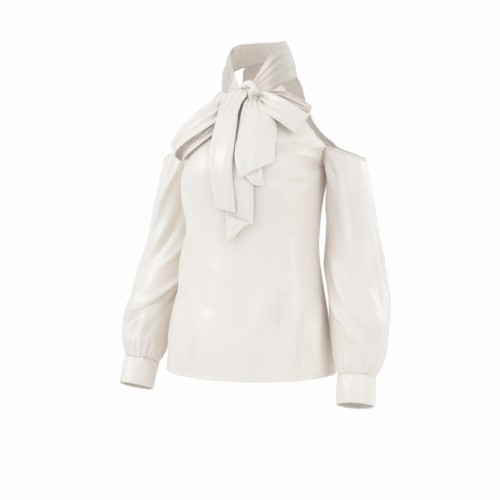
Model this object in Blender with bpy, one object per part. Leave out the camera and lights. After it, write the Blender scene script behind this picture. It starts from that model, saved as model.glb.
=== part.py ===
"""Cold-shoulder halter blouse with a tie neck and long full sleeves, in the form it has when worn.

Metres, +Z up. The wearer faces -Y, and the wearer's left is +X. The origin is the centre of the
neck ring, at the height of the collar seam. Every piece of cloth is a thin wall: its middle surface
is worked out from the tables below, and a Solidify modifier gives it its thickness.
"""
import math
from types import SimpleNamespace

import bmesh
import bpy
import numpy as np
from mathutils import Vector

# Cloth and seams
WALL = 0.0012               # single cloth
BAND_WALL = 0.0016          # cloth that is folded double: neck band and cuffs
SEAM = 0.0003               # gap between two pieces at a seam
RIM_GAP = 0.0009            # gap where two walls meet at an angle

# Heights on the figure
HEM = -0.600
UNDERARM = -0.205

# Grid of each piece
FRONT_COLUMNS = 26
BACK_COLUMNS = 18
BODY_ROWS = 14
HALTER_ROWS = 7
ARMHOLE_STEPS = 4           # cells of each panel along the sleeve seam
CAP_STEPS = 12              # cells of the sleeve's open top edge
EDGE_BLEND = 0.02           # height over which a panel leaves the armhole for its free edge


class Table:
    """Sizes under named columns. The first column is the key, and a smooth curve joins the rows."""

    def __init__(self, columns, *rows):
        self.names = columns.split()
        self.values = np.array(rows, dtype=float)
        self.slopes = np.gradient(self.values, self.values[:, 0], axis=0)

    def at(self, key):
        keys = self.values[:, 0]
        key = min(max(key, keys[0]), keys[-1])
        i = min(int(np.searchsorted(keys, key, side="right")) - 1, len(keys) - 2)
        span = keys[i + 1] - keys[i]
        t = (key - keys[i]) / span
        row = (self.values[i] * (1 + 2 * t) * (1 - t) ** 2
               + self.values[i + 1] * t * t * (3 - 2 * t)
               + self.slopes[i] * span * t * (1 - t) ** 2
               - self.slopes[i + 1] * span * t * t * (1 - t))
        return SimpleNamespace(**dict(zip(self.names, row)))

    def each(self):
        return [SimpleNamespace(**dict(zip(self.names, row))) for row in self.values]


# The body below the underarm, by height: half width and depth of front and back.
BODY = Table(
    "height half_width side_y",
    (-0.600, 0.1760, -0.047),
    (-0.540, 0.1690, -0.047),
    (-0.480, 0.1590, -0.047),
    (-0.420, 0.1475, -0.044),
    (-0.360, 0.1395, -0.038),
    (-0.300, 0.1380, -0.026),
    (-0.250, 0.1400, -0.008),
    (-0.205, 0.1439, 0.014),
)

# Each row of the front is an arc between its two edges. `arc` is half its angle, and `drop` is how
# far the middle of the row hangs below its edges.
FRONT = Table(
    "height middle_y arc drop",
    (-0.600, -0.184, 90, 0.004),
    (-0.540, -0.181, 90, 0.002),
    (-0.480, -0.173, 90, 0.000),
    (-0.420, -0.164, 90, 0.000),
    (-0.360, -0.158, 90, 0.000),
    (-0.300, -0.159, 90, 0.000),
    (-0.250, -0.166, 90, 0.000),
    (-0.205, -0.169, 86, 0.000),
    (-0.158, -0.157, 70, 0.002),
    (-0.127, -0.140, 62, 0.006),
    (-0.090, -0.113, 58, 0.012),
    (-0.059, -0.090, 56, 0.019),
    (-0.034, -0.0755, 55, 0.025),
)
BACK = Table(
    "height middle_y arc drop",
    (-0.600, 0.080, 90, 0.002),
    (-0.540, 0.073, 90, 0.000),
    (-0.480, 0.060, 90, 0.000),
    (-0.420, 0.048, 90, 0.000),
    (-0.360, 0.042, 90, 0.000),
    (-0.300, 0.046, 90, 0.000),
    (-0.250, 0.056, 90, 0.000),
    (-0.205, 0.066, 86, 0.000),
    (-0.158, 0.077, 66, 0.000),
    (-0.105, 0.081, 56, 0.000),
    (-0.060, 0.079, 52, -0.002),
    (-0.015, 0.072, 50, -0.005),
    (0.0165, 0.064, 50, -0.0083),
)
# The free halter edges, from the sleeve up to the neck.
FRONT_EDGE = Table(
    "height x y",
    (-0.158, 0.1530, -0.034),
    (-0.127, 0.1350, -0.050),
    (-0.090, 0.1070, -0.058),
    (-0.059, 0.0800, -0.056),
    (-0.034, 0.0610, -0.043),
)
BACK_EDGE = Table(
    "height x y",
    (-0.154, 0.1480, 0.047),
    (-0.130, 0.1180, 0.060),
    (-0.105, 0.0955, 0.065),
    (-0.068, 0.0785, 0.066),
    (-0.015, 0.0610, 0.060),
    (0.0165, 0.0490, 0.041),
)
BUST = SimpleNamespace(x=0.082, height=-0.200, spread=0.055, out=0.017)

# Large soft folds of the front, each a run from (x0, z0) to (x1, z1).
FRONT_FOLDS = Table(
    "x0 z0 x1 z1 width out",
    (0.140, -0.160, 0.050, -0.146, 0.015, 0.0055),
    (0.142, -0.172, 0.085, -0.196, 0.015, 0.0045),
    (-0.140, -0.162, -0.060, -0.150, 0.015, 0.0050),
    (-0.125, -0.190, -0.116, -0.340, 0.015, 0.0065),
    (-0.112, -0.330, -0.135, -0.430, 0.016, 0.0060),
    (0.096, -0.225, 0.108, -0.400, 0.018, 0.0055),
    (-0.052, -0.470, -0.060, -0.600, 0.020, 0.0060),
    (0.020, -0.480, 0.028, -0.600, 0.024, 0.0045),
    (0.135, -0.430, 0.150, -0.600, 0.018, 0.0065),
    (-0.130, -0.470, -0.140, -0.600, 0.020, 0.0060),
)
BACK_FOLDS = Table(
    "x0 z0 x1 z1 width out",
    (-0.095, -0.230, -0.085, -0.420, 0.020, 0.0060),
    (0.090, -0.240, 0.098, -0.430, 0.020, 0.0060),
    (-0.070, -0.450, -0.095, -0.600, 0.022, 0.0065),
    (0.010, -0.430, 0.000, -0.600, 0.024, 0.0055),
    (0.085, -0.460, 0.100, -0.600, 0.022, 0.0065),
)

# Middle line of the left arm, from the top of the sleeve (0) to the cuff seam (1).
ARM = Table(
    "along x y z radius",
    (0.00, 0.1770, 0.014, -0.170, 0.0455),
    (0.18, 0.1900, 0.006, -0.247, 0.0480),
    (0.37, 0.1990, 0.002, -0.330, 0.0520),
    (0.55, 0.2070, -0.006, -0.404, 0.0575),
    (0.69, 0.2190, -0.024, -0.466, 0.0590),
    (0.80, 0.2290, -0.044, -0.513, 0.0570),
    (0.90, 0.2330, -0.060, -0.556, 0.0480),
    (1.00, 0.2325, -0.076, -0.597, 0.0345),
)
# Top edge of the sleeve round the arm: 0 under the arm, 90 front, 180 outside, 270 back.
CAP = Table(
    "angle reach height",
    (-48, 0.0420, -0.154),
    (-24, 0.0355, -0.180),
    (0, 0.0317, -0.205),
    (32, 0.0405, -0.184),
    (64, 0.0510, -0.158),
    (90, 0.0485, -0.163),
    (135, 0.0460, -0.175),
    (180, 0.0445, -0.182),
    (225, 0.0440, -0.178),
    (270, 0.0435, -0.167),
    (312, 0.0420, -0.154),
)
FRONT_JOIN = 64             # angles where the sleeve leaves the front and the back
BACK_JOIN = -48
ARM_LEAN = Vector((0.065, -0.35, -1.0)).normalized()
RIGHT_LIFT = 0.007          # the right forearm is held a little higher
SLEEVE_ROWS = (0, 0.05, 0.11, 0.18, 0.26, 0.34, 0.42, 0.50, 0.58, 0.66)
GATHER_ROWS = (0.73, 0.79, 0.84, 0.885, 0.92, 0.95, 0.978, 1.0)
GATHERS = Table(
    "along depth",
    (0.73, 0.0002),
    (0.84, 0.0016),
    (0.92, 0.0034),
    (0.97, 0.0030),
    (1.00, 0.0013),
)
# Drape folds of the sleeves: each runs from one angle and place along the arm to another.
LEFT_SLEEVE_FOLDS = Table(
    "angle0 along0 angle1 along1 width out",
    (25, 0.48, 95, 0.80, 0.016, 0.0060),
    (95, 0.62, 180, 0.88, 0.014, 0.0050),
    (150, 0.10, 165, 0.62, 0.018, 0.0040),
    (60, 0.03, 100, 0.40, 0.014, 0.0035),
    (250, 0.30, 300, 0.75, 0.018, 0.0050),
    (215, 0.60, 240, 0.90, 0.014, 0.0050),
)
RIGHT_SLEEVE_FOLDS = Table(
    "angle0 along0 angle1 along1 width out",
    (35, 0.18, 130, 0.55, 0.016, 0.0060),
    (30, 0.60, 95, 0.78, 0.014, 0.0060),
    (95, 0.64, 150, 0.80, 0.014, 0.0045),
    (75, 0.03, 120, 0.30, 0.014, 0.0035),
    (200, 0.25, 250, 0.70, 0.018, 0.0050),
    (290, 0.55, 270, 0.88, 0.014, 0.0050),
)

# Cuffs and their buttons
CUFF = SimpleNamespace(height=0.055, radius=0.0342, step=0.0023, overlap=38, start=205,
                       columns=30)
BUTTON = SimpleNamespace(radius=0.0055, thickness=0.0024, sides=16)

# The neck band round the neck, by the angle from the front; each side has its own fall.
RIGHT_BAND = Table(
    "angle low high low_radius high_radius",
    (-6, -0.0600, -0.0460, 0.0810, 0.0810),
    (5, -0.0580, -0.0400, 0.0800, 0.0775),
    (20, -0.0520, -0.0180, 0.0780, 0.0700),
    (40, -0.0430, 0.0180, 0.0770, 0.0640),
    (65, -0.0300, 0.0400, 0.0776, 0.0610),
    (90, -0.0170, 0.0550, 0.0776, 0.0590),
    (115, 0.0100, 0.0640, 0.0740, 0.0575),
    (135, 0.0190, 0.0665, 0.0690, 0.0568),
    (150, 0.0235, 0.0680, 0.0660, 0.0565),
    (180, 0.0260, 0.0690, 0.0640, 0.0560),
)
LEFT_BAND = Table(
    "angle low high low_radius high_radius",
    (8, -0.0600, -0.0400, 0.0810, 0.0815),
    (20, -0.0540, -0.0090, 0.0800, 0.0775),
    (37, -0.0440, 0.0220, 0.0785, 0.0665),
    (53, -0.0300, 0.0425, 0.0776, 0.0610),
    (90, -0.0140, 0.0615, 0.0776, 0.0575),
    (115, -0.0020, 0.0655, 0.0740, 0.0565),
    (150, 0.0200, 0.0685, 0.0660, 0.0562),
    (180, 0.0260, 0.0690, 0.0640, 0.0560),
)
COLLAR_HALF_ANGLE = 64
BAND_BULGE = 0.004
WRAP_FOLDS = SimpleNamespace(count=3.5, depth=0.0024, width=0.060)

# The bow
KNOT = SimpleNamespace(center=Vector((0.025, -0.0932, -0.0545)),
                       half=Vector((0.0125, 0.0115, 0.0185)),
                       rings=9, sides=14, grooves=4, groove=0.0012, twist=40)
RIGHT_LOOP = Table(
    "along x y z width gap skew",
    (0.00, 0.0080, -0.0925, -0.0580, 0.020, 0.0060, 0.000),
    (0.30, -0.031, -0.1110, -0.0800, 0.040, 0.0160, -0.003),
    (0.62, -0.072, -0.1280, -0.1120, 0.042, 0.0260, -0.010),
    (0.86, -0.108, -0.1240, -0.1365, 0.040, 0.0250, -0.013),
    (1.00, -0.134, -0.1100, -0.1560, 0.035, 0.0210, -0.012),
)
LEFT_LOOP = Table(
    "along x y z width gap skew",
    (0.00, 0.0420, -0.0925, -0.0560, 0.024, 0.0060, 0.000),
    (0.35, 0.072, -0.1060, -0.0740, 0.042, 0.0160, 0.006),
    (0.70, 0.100, -0.1070, -0.0930, 0.050, 0.0180, 0.011),
    (1.00, 0.127, -0.0980, -0.1100, 0.050, 0.0160, 0.011),
)
LOOP_STEPS = 10             # cells along one layer of a loop
LOOP_COLUMNS = 6
LOOP_CLEAR = 0.0070         # least distance of a loop's back layer from the front
LOOP_CREASE = 0.0022

# The hanging ends: edges of each stretch on the front, and how far it stands off.
RIGHT_TAIL = Table(
    "along x_left z_left x_right z_right out",
    (0.00, -0.018, -0.0500, 0.0100, -0.0520, 0.0302),
    (0.12, -0.023, -0.0760, 0.0100, -0.0760, 0.0297),
    (0.25, -0.028, -0.1080, 0.0120, -0.1080, 0.0255),
    (0.45, -0.030, -0.1500, 0.0170, -0.1500, 0.0160),
    (0.70, -0.026, -0.2100, 0.0200, -0.2120, 0.0120),
    (1.00, -0.019, -0.2750, 0.0215, -0.2830, 0.0110),
)
LEFT_TAIL = Table(
    "along x_left z_left x_right z_right out",
    (0.00, 0.0165, -0.0760, 0.0440, -0.0780, 0.0240),
    (0.20, 0.0190, -0.1000, 0.0620, -0.0980, 0.0210),
    (0.50, 0.0240, -0.1450, 0.0880, -0.1345, 0.0170),
    (1.00, 0.036, -0.2160, 0.0940, -0.1880, 0.0131),
)
TAIL_FOLD = Table(
    "along x_left z_left x_right z_right out",
    (0.00, 0.036, -0.1700, 0.0720, -0.1650, 0.0106),
    (0.60, 0.040, -0.2060, 0.0760, -0.1990, 0.0106),
    (1.00, 0.0600, -0.2300, 0.0785, -0.2345, 0.0106),
)
LONG_TAIL = Table(
    "along x_left z_left x_right z_right out",
    (0.00, 0.020, -0.1150, 0.0500, -0.1150, 0.0032),
    (0.40, 0.010, -0.2000, 0.0600, -0.2000, 0.0060),
    (0.70, 0.002, -0.2500, 0.0570, -0.2500, 0.0065),
    (1.00, 0.000, -0.2900, 0.0520, -0.3060, 0.0065),
)
TAIL_END = Table(
    "along x_left z_left x_right z_right out",
    (0.00, 0.001, -0.2870, 0.0500, -0.3040, 0.0105),
    (0.60, 0.0015, -0.3220, 0.0300, -0.3160, 0.0105),
    (1.00, 0.003, -0.3470, 0.0075, -0.3400, 0.0110),
)
RIPPLE = 0.0012

BINDING = SimpleNamespace(width=0.0042, depth=0.0030, sides=6, gap=0.0007, stop=0.007)
INSIDE = 0.98               # a place just inside a panel's edge, for the direction beyond it

SATIN = (0.86, 0.80, 0.71)
PEARL = (0.88, 0.83, 0.75)


def ease(t):
    """0 to 1 with level ends."""
    t = min(max(t, 0.0), 1.0)
    return t * t * (3 - 2 * t)


def spread(first, last, cells):
    return [first + (last - first) * i / cells for i in range(cells + 1)]


def satin(name, color, roughness):
    material = bpy.data.materials.new(name)
    material.use_nodes = True
    shader = material.node_tree.nodes["Principled BSDF"]
    shader.inputs["Base Color"].default_value = (*color, 1.0)
    shader.inputs["Roughness"].default_value = roughness
    shader.inputs["Metallic"].default_value = 0.0
    return material


def add_object(name, bm, material):
    mesh = bpy.data.meshes.new(name)
    bm.to_mesh(mesh)
    bm.free()
    mesh.shade_smooth()
    mesh.materials.append(material)
    piece = bpy.data.objects.new(name, mesh)
    bpy.context.collection.objects.link(piece)
    return piece


def cloth(name, rows, material, closed=False, wall=WALL):
    """A wall through rows of points. A closed row may have twice the points of the row above it."""
    bm = bmesh.new()
    grid = [[bm.verts.new(point) for point in row] for row in rows]
    for upper, lower in zip(grid, grid[1:]):
        for i in range(len(upper) if closed else len(upper) - 1):
            a, b = upper[i], upper[(i + 1) % len(upper)]
            if len(lower) == len(upper):
                bm.faces.new((a, lower[i], lower[(i + 1) % len(lower)], b))
            else:
                c, d, e = lower[2 * i], lower[2 * i + 1], lower[(2 * i + 2) % len(lower)]
                bm.faces.new((a, c, d))
                bm.faces.new((a, d, b))
                bm.faces.new((b, d, e))
    piece = add_object(name, bm, material)
    thickness = piece.modifiers.new("Wall", "SOLIDIFY")
    thickness.thickness = wall
    thickness.offset = 0.0
    return piece


# Front and back


def cap_point(angle, side=1, extra=0.0):
    """A point of the sleeve's top edge, or of the armhole that lies `extra` outside it."""
    row = CAP.at(angle)
    center = ARM.at(0)
    reach = row.reach + extra
    turn = math.radians(angle)
    return Vector((side * (center.x - reach * math.cos(turn)), center.y - reach * math.sin(turn),
                   row.height))


def armhole(height, join):
    """The panel's seam with the sleeve at a height, on the left side."""
    angles = spread(0, join, 16)
    heights = [CAP.at(angle).height for angle in angles]
    return cap_point(float(np.interp(height, heights, angles)), extra=WALL + SEAM)


def panel_edge(height, join, halter):
    """Left edge of the front or the back at a height: side seam, armhole, then the free edge."""
    if height <= UNDERARM:
        row = BODY.at(height)
        return Vector((row.half_width, row.side_y, height))
    if height <= halter.values[0, 0]:
        return armhole(height, join)
    row = halter.at(height)
    blend = ease((height - halter.values[0, 0]) / EDGE_BLEND)
    return armhole(halter.values[0, 0], join).lerp(Vector((row.x, row.y, height)), blend)


def fold_height(folds, x, z):
    """Sum of the soft folds at a place on a panel."""
    total = 0.0
    for fold in folds.each():
        run = Vector((fold.x1 - fold.x0, fold.z1 - fold.z0))
        away = Vector((x - fold.x0, z - fold.z0))
        t = away.dot(run) / run.dot(run)
        near = min(max(t, 0.0), 1.0)
        distance = (away - run * near).length
        strength = fold.out * (0.4 + 0.6 * math.sin(math.pi * near))
        total += strength * math.exp(-(distance / fold.width) ** 2)
    return total


def panel_arc(panel, height, s):
    """A point of a panel's plain row; s runs from -1 to 1 across it."""
    row = panel.shape.at(height)
    edge = panel_edge(height, panel.join, panel.halter)
    arc = math.radians(row.arc)
    rise = (math.cos(arc * s) - math.cos(arc)) / (1 - math.cos(arc))
    side_y = edge.y + panel.facing * SEAM
    return Vector((edge.x * math.sin(arc * s) / math.sin(arc),
                   side_y + (row.middle_y - side_y) * rise,
                   height - row.drop * rise))


def neck_shift(panel, s):
    """How far the top row moves to run just under the neck band."""
    angle = panel.neck_angle * s
    if panel.facing > 0:
        table = LEFT_BAND if s > 0 else RIGHT_BAND
        target = band_point(table, 180 - abs(angle), 0, 1 if s > 0 else -1)
    elif angle > LEFT_BAND.values[0, 0]:
        target = band_point(LEFT_BAND, angle, 0, 1)
    else:
        target = band_point(RIGHT_BAND, -angle, 0, -1)
    target.z -= panel.neck_gap
    return target - panel_arc(panel, panel.halter.values[-1, 0], s)


def panel_point(panel, height, s):
    """A point of the front or the back, with its folds."""
    top = panel.halter.values[-1, 0]
    blend = ease((height - panel.blend_from) / (top - panel.blend_from))
    point = panel_arc(panel, height, s) + neck_shift(panel, s) * blend
    turn = math.radians(panel.shape.at(height).arc) * s
    outward = Vector((math.sin(turn), panel.facing * math.cos(turn), 0))
    fullness = fold_height(panel.folds, point.x, point.z)
    if panel.facing < 0:
        for x in (-BUST.x, BUST.x):
            away = math.hypot(point.x - x, point.z - BUST.height)
            fullness += BUST.out * math.exp(-(away / BUST.spread) ** 2)
    return point + outward * fullness * (1 - s ** 4) ** 2 * (1 - blend)


FRONT_PANEL = SimpleNamespace(shape=FRONT, halter=FRONT_EDGE, join=FRONT_JOIN, folds=FRONT_FOLDS,
                              facing=-1, neck_angle=55, neck_gap=0.0016, blend_from=-0.100)
BACK_PANEL = SimpleNamespace(shape=BACK, halter=BACK_EDGE, join=BACK_JOIN, folds=BACK_FOLDS,
                             facing=1, neck_angle=50, neck_gap=RIM_GAP, blend_from=-0.060)


def free_heights(panel):
    """Heights of the rows along the free halter edge, from the sleeve to the neck."""
    return spread(panel.halter.values[0, 0], panel.halter.values[-1, 0], HALTER_ROWS)


def make_panel(name, panel, columns, material):
    """Front or back. Its armhole rows lie at the sleeve's own columns."""
    body = spread(HEM, UNDERARM, BODY_ROWS)
    seam = [CAP.at(angle).height for angle in spread(0, panel.join, ARMHOLE_STEPS)][1:]
    heights = body + seam + free_heights(panel)[1:]
    rows = [[panel_point(panel, height, s) for s in spread(-1, 1, columns)] for height in heights]
    cloth(name, rows, material)


def front_at(x, z):
    """The front's surface behind a place: the row and column are moved until the point is there."""
    guess_x, guess_z = x, z
    for _ in range(8):
        row = FRONT.at(guess_z)
        edge = panel_edge(guess_z, FRONT_JOIN, FRONT_EDGE)
        arc = math.radians(row.arc)
        sine = min(max(guess_x * math.sin(arc) / edge.x, -math.sin(arc)), math.sin(arc))
        point = panel_point(FRONT_PANEL, guess_z, math.asin(sine) / arc)
        guess_x += x - point.x
        guess_z = min(guess_z + z - point.z, FRONT_EDGE.values[-1, 0])
    return Vector((x, point.y, z))


def in_front(place, clear):
    """A place, moved forward where it must be to lie `clear` of the front."""
    here = front_at(place.x, place.z)
    step = 0.004
    slope = (front_at(place.x + step, place.z).y - here.y) / step
    return Vector((place.x, min(place.y, here.y - clear * math.hypot(1, slope)), place.z))


# Sleeves, cuffs and buttons


def arm_frame(along, side):
    """Middle of the sleeve at a place along it, with the directions to the body and to the front."""
    row = ARM.at(along)
    lift = RIGHT_LIFT * along ** 2 if side < 0 else 0.0
    center = Vector((side * row.x, row.y, row.z + lift))
    lean = ease((along - 0.45) / 0.55)
    axis = Vector((side * ARM_LEAN.x, ARM_LEAN.y, ARM_LEAN.z))
    axis = Vector((0, 0, -1)).lerp(axis, lean).normalized()
    inner = Vector((-side, 0, 0))
    inner = (inner - axis * inner.dot(axis)).normalized()
    front = Vector((0, -1, 0))
    front = (front - axis * front.dot(axis) - inner * front.dot(inner)).normalized()
    return center, axis, inner, front


def sleeve_fold(folds, angle, along):
    total = 0.0
    for fold in folds.each():
        t = (along - fold.along0) / (fold.along1 - fold.along0)
        if not 0 < t < 1:
            continue
        away = (angle - fold.angle0 - (fold.angle1 - fold.angle0) * t + 180) % 360 - 180
        distance = math.radians(away) * ARM.at(along).radius
        total += fold.out * math.exp(-(distance / fold.width) ** 2) * math.sin(math.pi * t)
    return total


def body_half_width(y, z):
    """Half width of the body at a depth y and height z, for what hangs beside it."""
    edge = panel_edge(z, FRONT_JOIN, FRONT_EDGE)
    row = (FRONT if y < edge.y else BACK).at(z)
    arc = math.radians(row.arc)
    rise = min(max((y - edge.y) / (row.middle_y - edge.y), 0.0), 1.0)
    turn = math.acos(math.cos(arc) + rise * (1 - math.cos(arc)))
    return edge.x * math.sin(turn) / math.sin(arc)


def sleeve_point(along, angle, side, gather=0.0):
    """A point of a sleeve. `gather` is +1 on a ridge of the gathers and -1 in a valley."""
    center, _, inner, front = arm_frame(along, side)
    cap = CAP.at(angle if angle <= 312 else angle - 360)
    blend = ease(along / 0.25)
    radius = cap.reach * (1 - blend) + ARM.at(along).radius * blend
    folds = LEFT_SLEEVE_FOLDS if side > 0 else RIGHT_SLEEVE_FOLDS
    radius += sleeve_fold(folds, angle, along)
    uneven = 0.75 + 0.25 * math.sin(math.radians(3 * angle + 40 * side))
    radius += gather * GATHERS.at(along).depth * uneven
    turn = math.radians(angle)
    point = center + (inner * math.cos(turn) + front * math.sin(turn)) * radius
    point.z += (cap.height - ARM.at(0).z) * max(1 - along / 0.45, 0) ** 2
    if 0 < along < 0.9:
        clear = body_half_width(point.y, point.z) + WALL + SEAM + 0.0015
        if -0.12 < point.y < 0.08 and abs(point.x) < clear:
            point.x = side * clear
    return point


def sleeve_angles():
    """Angles of the sleeve's columns: those on the armhole seam are shared with the panels."""
    front_seam = spread(0, FRONT_JOIN, ARMHOLE_STEPS)
    top = spread(FRONT_JOIN, 360 + BACK_JOIN, CAP_STEPS)[1:]
    back_seam = spread(360 + BACK_JOIN, 360, ARMHOLE_STEPS)[1:-1]
    return front_seam + top + back_seam


def make_sleeve(name, side, material):
    angles = sleeve_angles()
    middles = [(a + b) / 2 for a, b in zip(angles, angles[1:] + [360])]
    rows = [[sleeve_point(along, angle, side) for angle in angles] for along in SLEEVE_ROWS]
    for along in GATHER_ROWS:
        row = []
        for ridge, valley in zip(angles, middles):
            row.append(sleeve_point(along, ridge, side, 1))
            row.append(sleeve_point(along, valley, side, -1))
        rows.append(row)
    cloth(name, rows, material, closed=True)


def cuff_point(down, angle, side, out=0.0):
    """A point of the cuff, `down` below the cuff seam along the arm and `angle` round it."""
    center, axis, inner, front = arm_frame(1.0, side)
    turned = CUFF.start + angle
    radius = CUFF.radius + out + CUFF.step * ease((angle - 345) / 20)
    turn = math.radians(turned)
    return center + axis * down + (inner * math.cos(turn) + front * math.sin(turn)) * radius


def make_cuff(name, side, material):
    angles = spread(0, 360 + CUFF.overlap, CUFF.columns)
    drops = spread(RIM_GAP, RIM_GAP + CUFF.height, 2)
    cloth(name, [[cuff_point(down, angle, side) for angle in angles] for down in drops],
          material, wall=BAND_WALL)


def make_button(name, side, material):
    """A flat round button on the outer layer of the cuff's overlap."""
    angle = 360 + CUFF.overlap / 2
    down = RIM_GAP + CUFF.height / 2
    seat = cuff_point(down, angle, side, BAND_WALL / 2 + SEAM)
    outward = (cuff_point(down, angle, side, 1.0) - seat).normalized()
    bm = bmesh.new()
    bmesh.ops.create_cone(bm, cap_ends=True, segments=BUTTON.sides, radius1=BUTTON.radius,
                          radius2=BUTTON.radius * 0.88, depth=BUTTON.thickness)
    piece = add_object(name, bm, material)
    piece.rotation_euler = outward.to_track_quat("Z", "X").to_euler()
    piece.location = seat + outward * BUTTON.thickness / 2
    return piece


# Neck band


def band_point(table, angle, up, side, ripple=0.0):
    """A point of the neck band: `angle` from the front, `up` from its seam (0) to its top (1)."""
    row = table.at(angle)
    radius = row.low_radius + (row.high_radius - row.low_radius) * up
    radius += BAND_BULGE * math.sin(math.pi * up) + ripple
    turn = math.radians(angle)
    return Vector((side * radius * math.sin(turn), -radius * math.cos(turn),
                   row.low + (row.high - row.low) * up))


def make_collar(material):
    rows = []
    for up in spread(0, 1, 3):
        row = []
        for turn in spread(-COLLAR_HALF_ANGLE, COLLAR_HALF_ANGLE, 16):
            side = 1 if turn > 0 else -1
            table = LEFT_BAND if side > 0 else RIGHT_BAND
            row.append(band_point(table, 180 - abs(turn), up, side))
        rows.append(row)
    cloth("collar", rows, material, wall=BAND_WALL)


def make_wrap(name, table, side, material):
    """The band from the collar round to the knot, with the folds that its gathering makes."""
    last = 180 - COLLAR_HALF_ANGLE - 0.5
    first = table.values[0, 0]
    rows = []
    for up in spread(0, 1, 8):
        row = []
        for angle in spread(first, last, 14):
            row_width = table.at(angle).high - table.at(angle).low
            strength = ease((last - angle) / 40) * WRAP_FOLDS.depth * row_width / WRAP_FOLDS.width
            wave = math.sin(2 * math.pi * WRAP_FOLDS.count * up + 0.02 * angle)
            row.append(band_point(table, angle, up, side, strength * wave))
        rows.append(row)
    cloth(name, rows, material, wall=BAND_WALL)


# Bow


def make_knot(material):
    """The knot: a short upright roll with twisted grooves."""
    bm = bmesh.new()
    bmesh.ops.create_uvsphere(bm, u_segments=KNOT.sides, v_segments=KNOT.rings, radius=1.0)
    for vert in bm.verts:
        unit = vert.co.copy()
        turn = math.atan2(unit.y, unit.x) + math.radians(KNOT.twist) * unit.z
        groove = KNOT.groove * math.cos(KNOT.grooves * turn) * math.hypot(unit.x, unit.y)
        vert.co = Vector((unit.x * (KNOT.half.x + groove), unit.y * (KNOT.half.y + groove),
                          unit.z * KNOT.half.z))
    piece = add_object("bow_knot", bm, material)
    piece.location = KNOT.center


def make_loop(name, table, material):
    """A strip that runs out from the knot, turns over and comes back behind itself."""
    steps = spread(0, 1, LOOP_STEPS)
    turn_steps = (30, 60, 90, 120, 150)
    stations = [(along, 1.0, 0.0) for along in steps]
    stations += [(1.0, math.cos(math.radians(a)), math.sin(math.radians(a))) for a in turn_steps]
    stations += [(along, -1.0, 0.0) for along in reversed(steps)]
    rows = []
    for along, layer, beyond in stations:
        row = table.at(along)
        ahead, behind = table.at(min(along + 0.05, 1)), table.at(max(along - 0.05, 0))
        run = Vector((ahead.x - behind.x, ahead.y - behind.y, ahead.z - behind.z)).normalized()
        across = Vector((-run.z, 0, run.x)) * (1 if run.x > 0 else -1)
        across = (across - run * across.dot(run)).normalized()
        out = run.cross(across)
        out = out if out.y < 0 else -out
        center = Vector((row.x, row.y, row.z))
        line = []
        for v in spread(-1, 1, LOOP_COLUMNS):
            crease = LOOP_CREASE * math.cos(2.5 * math.pi * v) * ease(1 - along) * ease(along * 4)
            place = center + across * (v * row.width / 2 - row.skew * (layer - 1) / 2)
            place += out * (layer * row.gap / 2 + crease * layer) + run * beyond * row.gap / 2
            clear = LOOP_CLEAR + (layer + 1) * row.gap / 3
            line.append(in_front(place, clear))
        rows.append(line)
    cloth(name, rows, material)


def make_strip(name, table, rows, columns, ripples, material):
    """A hanging stretch of the tie: points of the front, moved out."""
    lines = []
    for along in spread(0, 1, rows):
        row = table.at(along)
        line = []
        for s in spread(0, 1, columns):
            x = row.x_left + (row.x_right - row.x_left) * s
            z = row.z_left + (row.z_right - row.z_left) * s
            ripple = RIPPLE * math.cos(2 * math.pi * ripples * s)
            line.append(front_at(x, z) + Vector((0, -row.out - ripple, 0)))
        lines.append(line)
    cloth(name, lines, material)


# Bindings


def binding_path(side):
    """Edge points with the direction beyond the edge: front halter edge, sleeve top, back edge."""
    path = []
    for height in reversed(free_heights(FRONT_PANEL)[1:]):
        height = min(height, FRONT_EDGE.values[-1, 0] - BINDING.stop)
        path.append([panel_point(FRONT_PANEL, height, side * s) for s in (1, INSIDE)])
    for angle in spread(FRONT_JOIN, 360 + BACK_JOIN, CAP_STEPS):
        path.append((sleeve_point(0, angle, side), sleeve_point(0.02, angle, side)))
    for height in free_heights(BACK_PANEL)[1:]:
        height = min(height, BACK_EDGE.values[-1, 0] - BINDING.stop)
        path.append([panel_point(BACK_PANEL, height, side * s) for s in (1, INSIDE)])
    path = [(edge, (edge - inside).normalized()) for edge, inside in path]
    for i in (HALTER_ROWS, HALTER_ROWS + CAP_STEPS):
        path[i] = (path[i][0], (path[i - 1][1] + path[i][1] + path[i + 1][1]).normalized())
    return path


def make_binding(name, side, material):
    """The rolled strip that finishes the open armhole, just beyond the cloth's edge."""
    path = binding_path(side)
    bm = bmesh.new()
    rings = []
    for i, (edge, beyond) in enumerate(path):
        run = (path[min(i + 1, len(path) - 1)][0] - path[max(i - 1, 0)][0]).normalized()
        wide = (beyond - run * beyond.dot(run)).normalized()
        deep = run.cross(wide)
        center = edge + wide * (BINDING.width / 2 + BINDING.gap)
        ring = []
        for k in range(BINDING.sides):
            turn = 2 * math.pi * k / BINDING.sides
            offset = wide * math.cos(turn) * BINDING.width + deep * math.sin(turn) * BINDING.depth
            ring.append(bm.verts.new(center + offset / 2))
        rings.append(ring)
    for one, two in zip(rings, rings[1:]):
        for k in range(BINDING.sides):
            n = (k + 1) % BINDING.sides
            bm.faces.new((one[k], one[n], two[n], two[k]))
    bm.faces.new(rings[0])
    bm.faces.new(list(reversed(rings[-1])))
    bmesh.ops.recalc_face_normals(bm, faces=bm.faces)
    add_object(name, bm, material)


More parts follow.
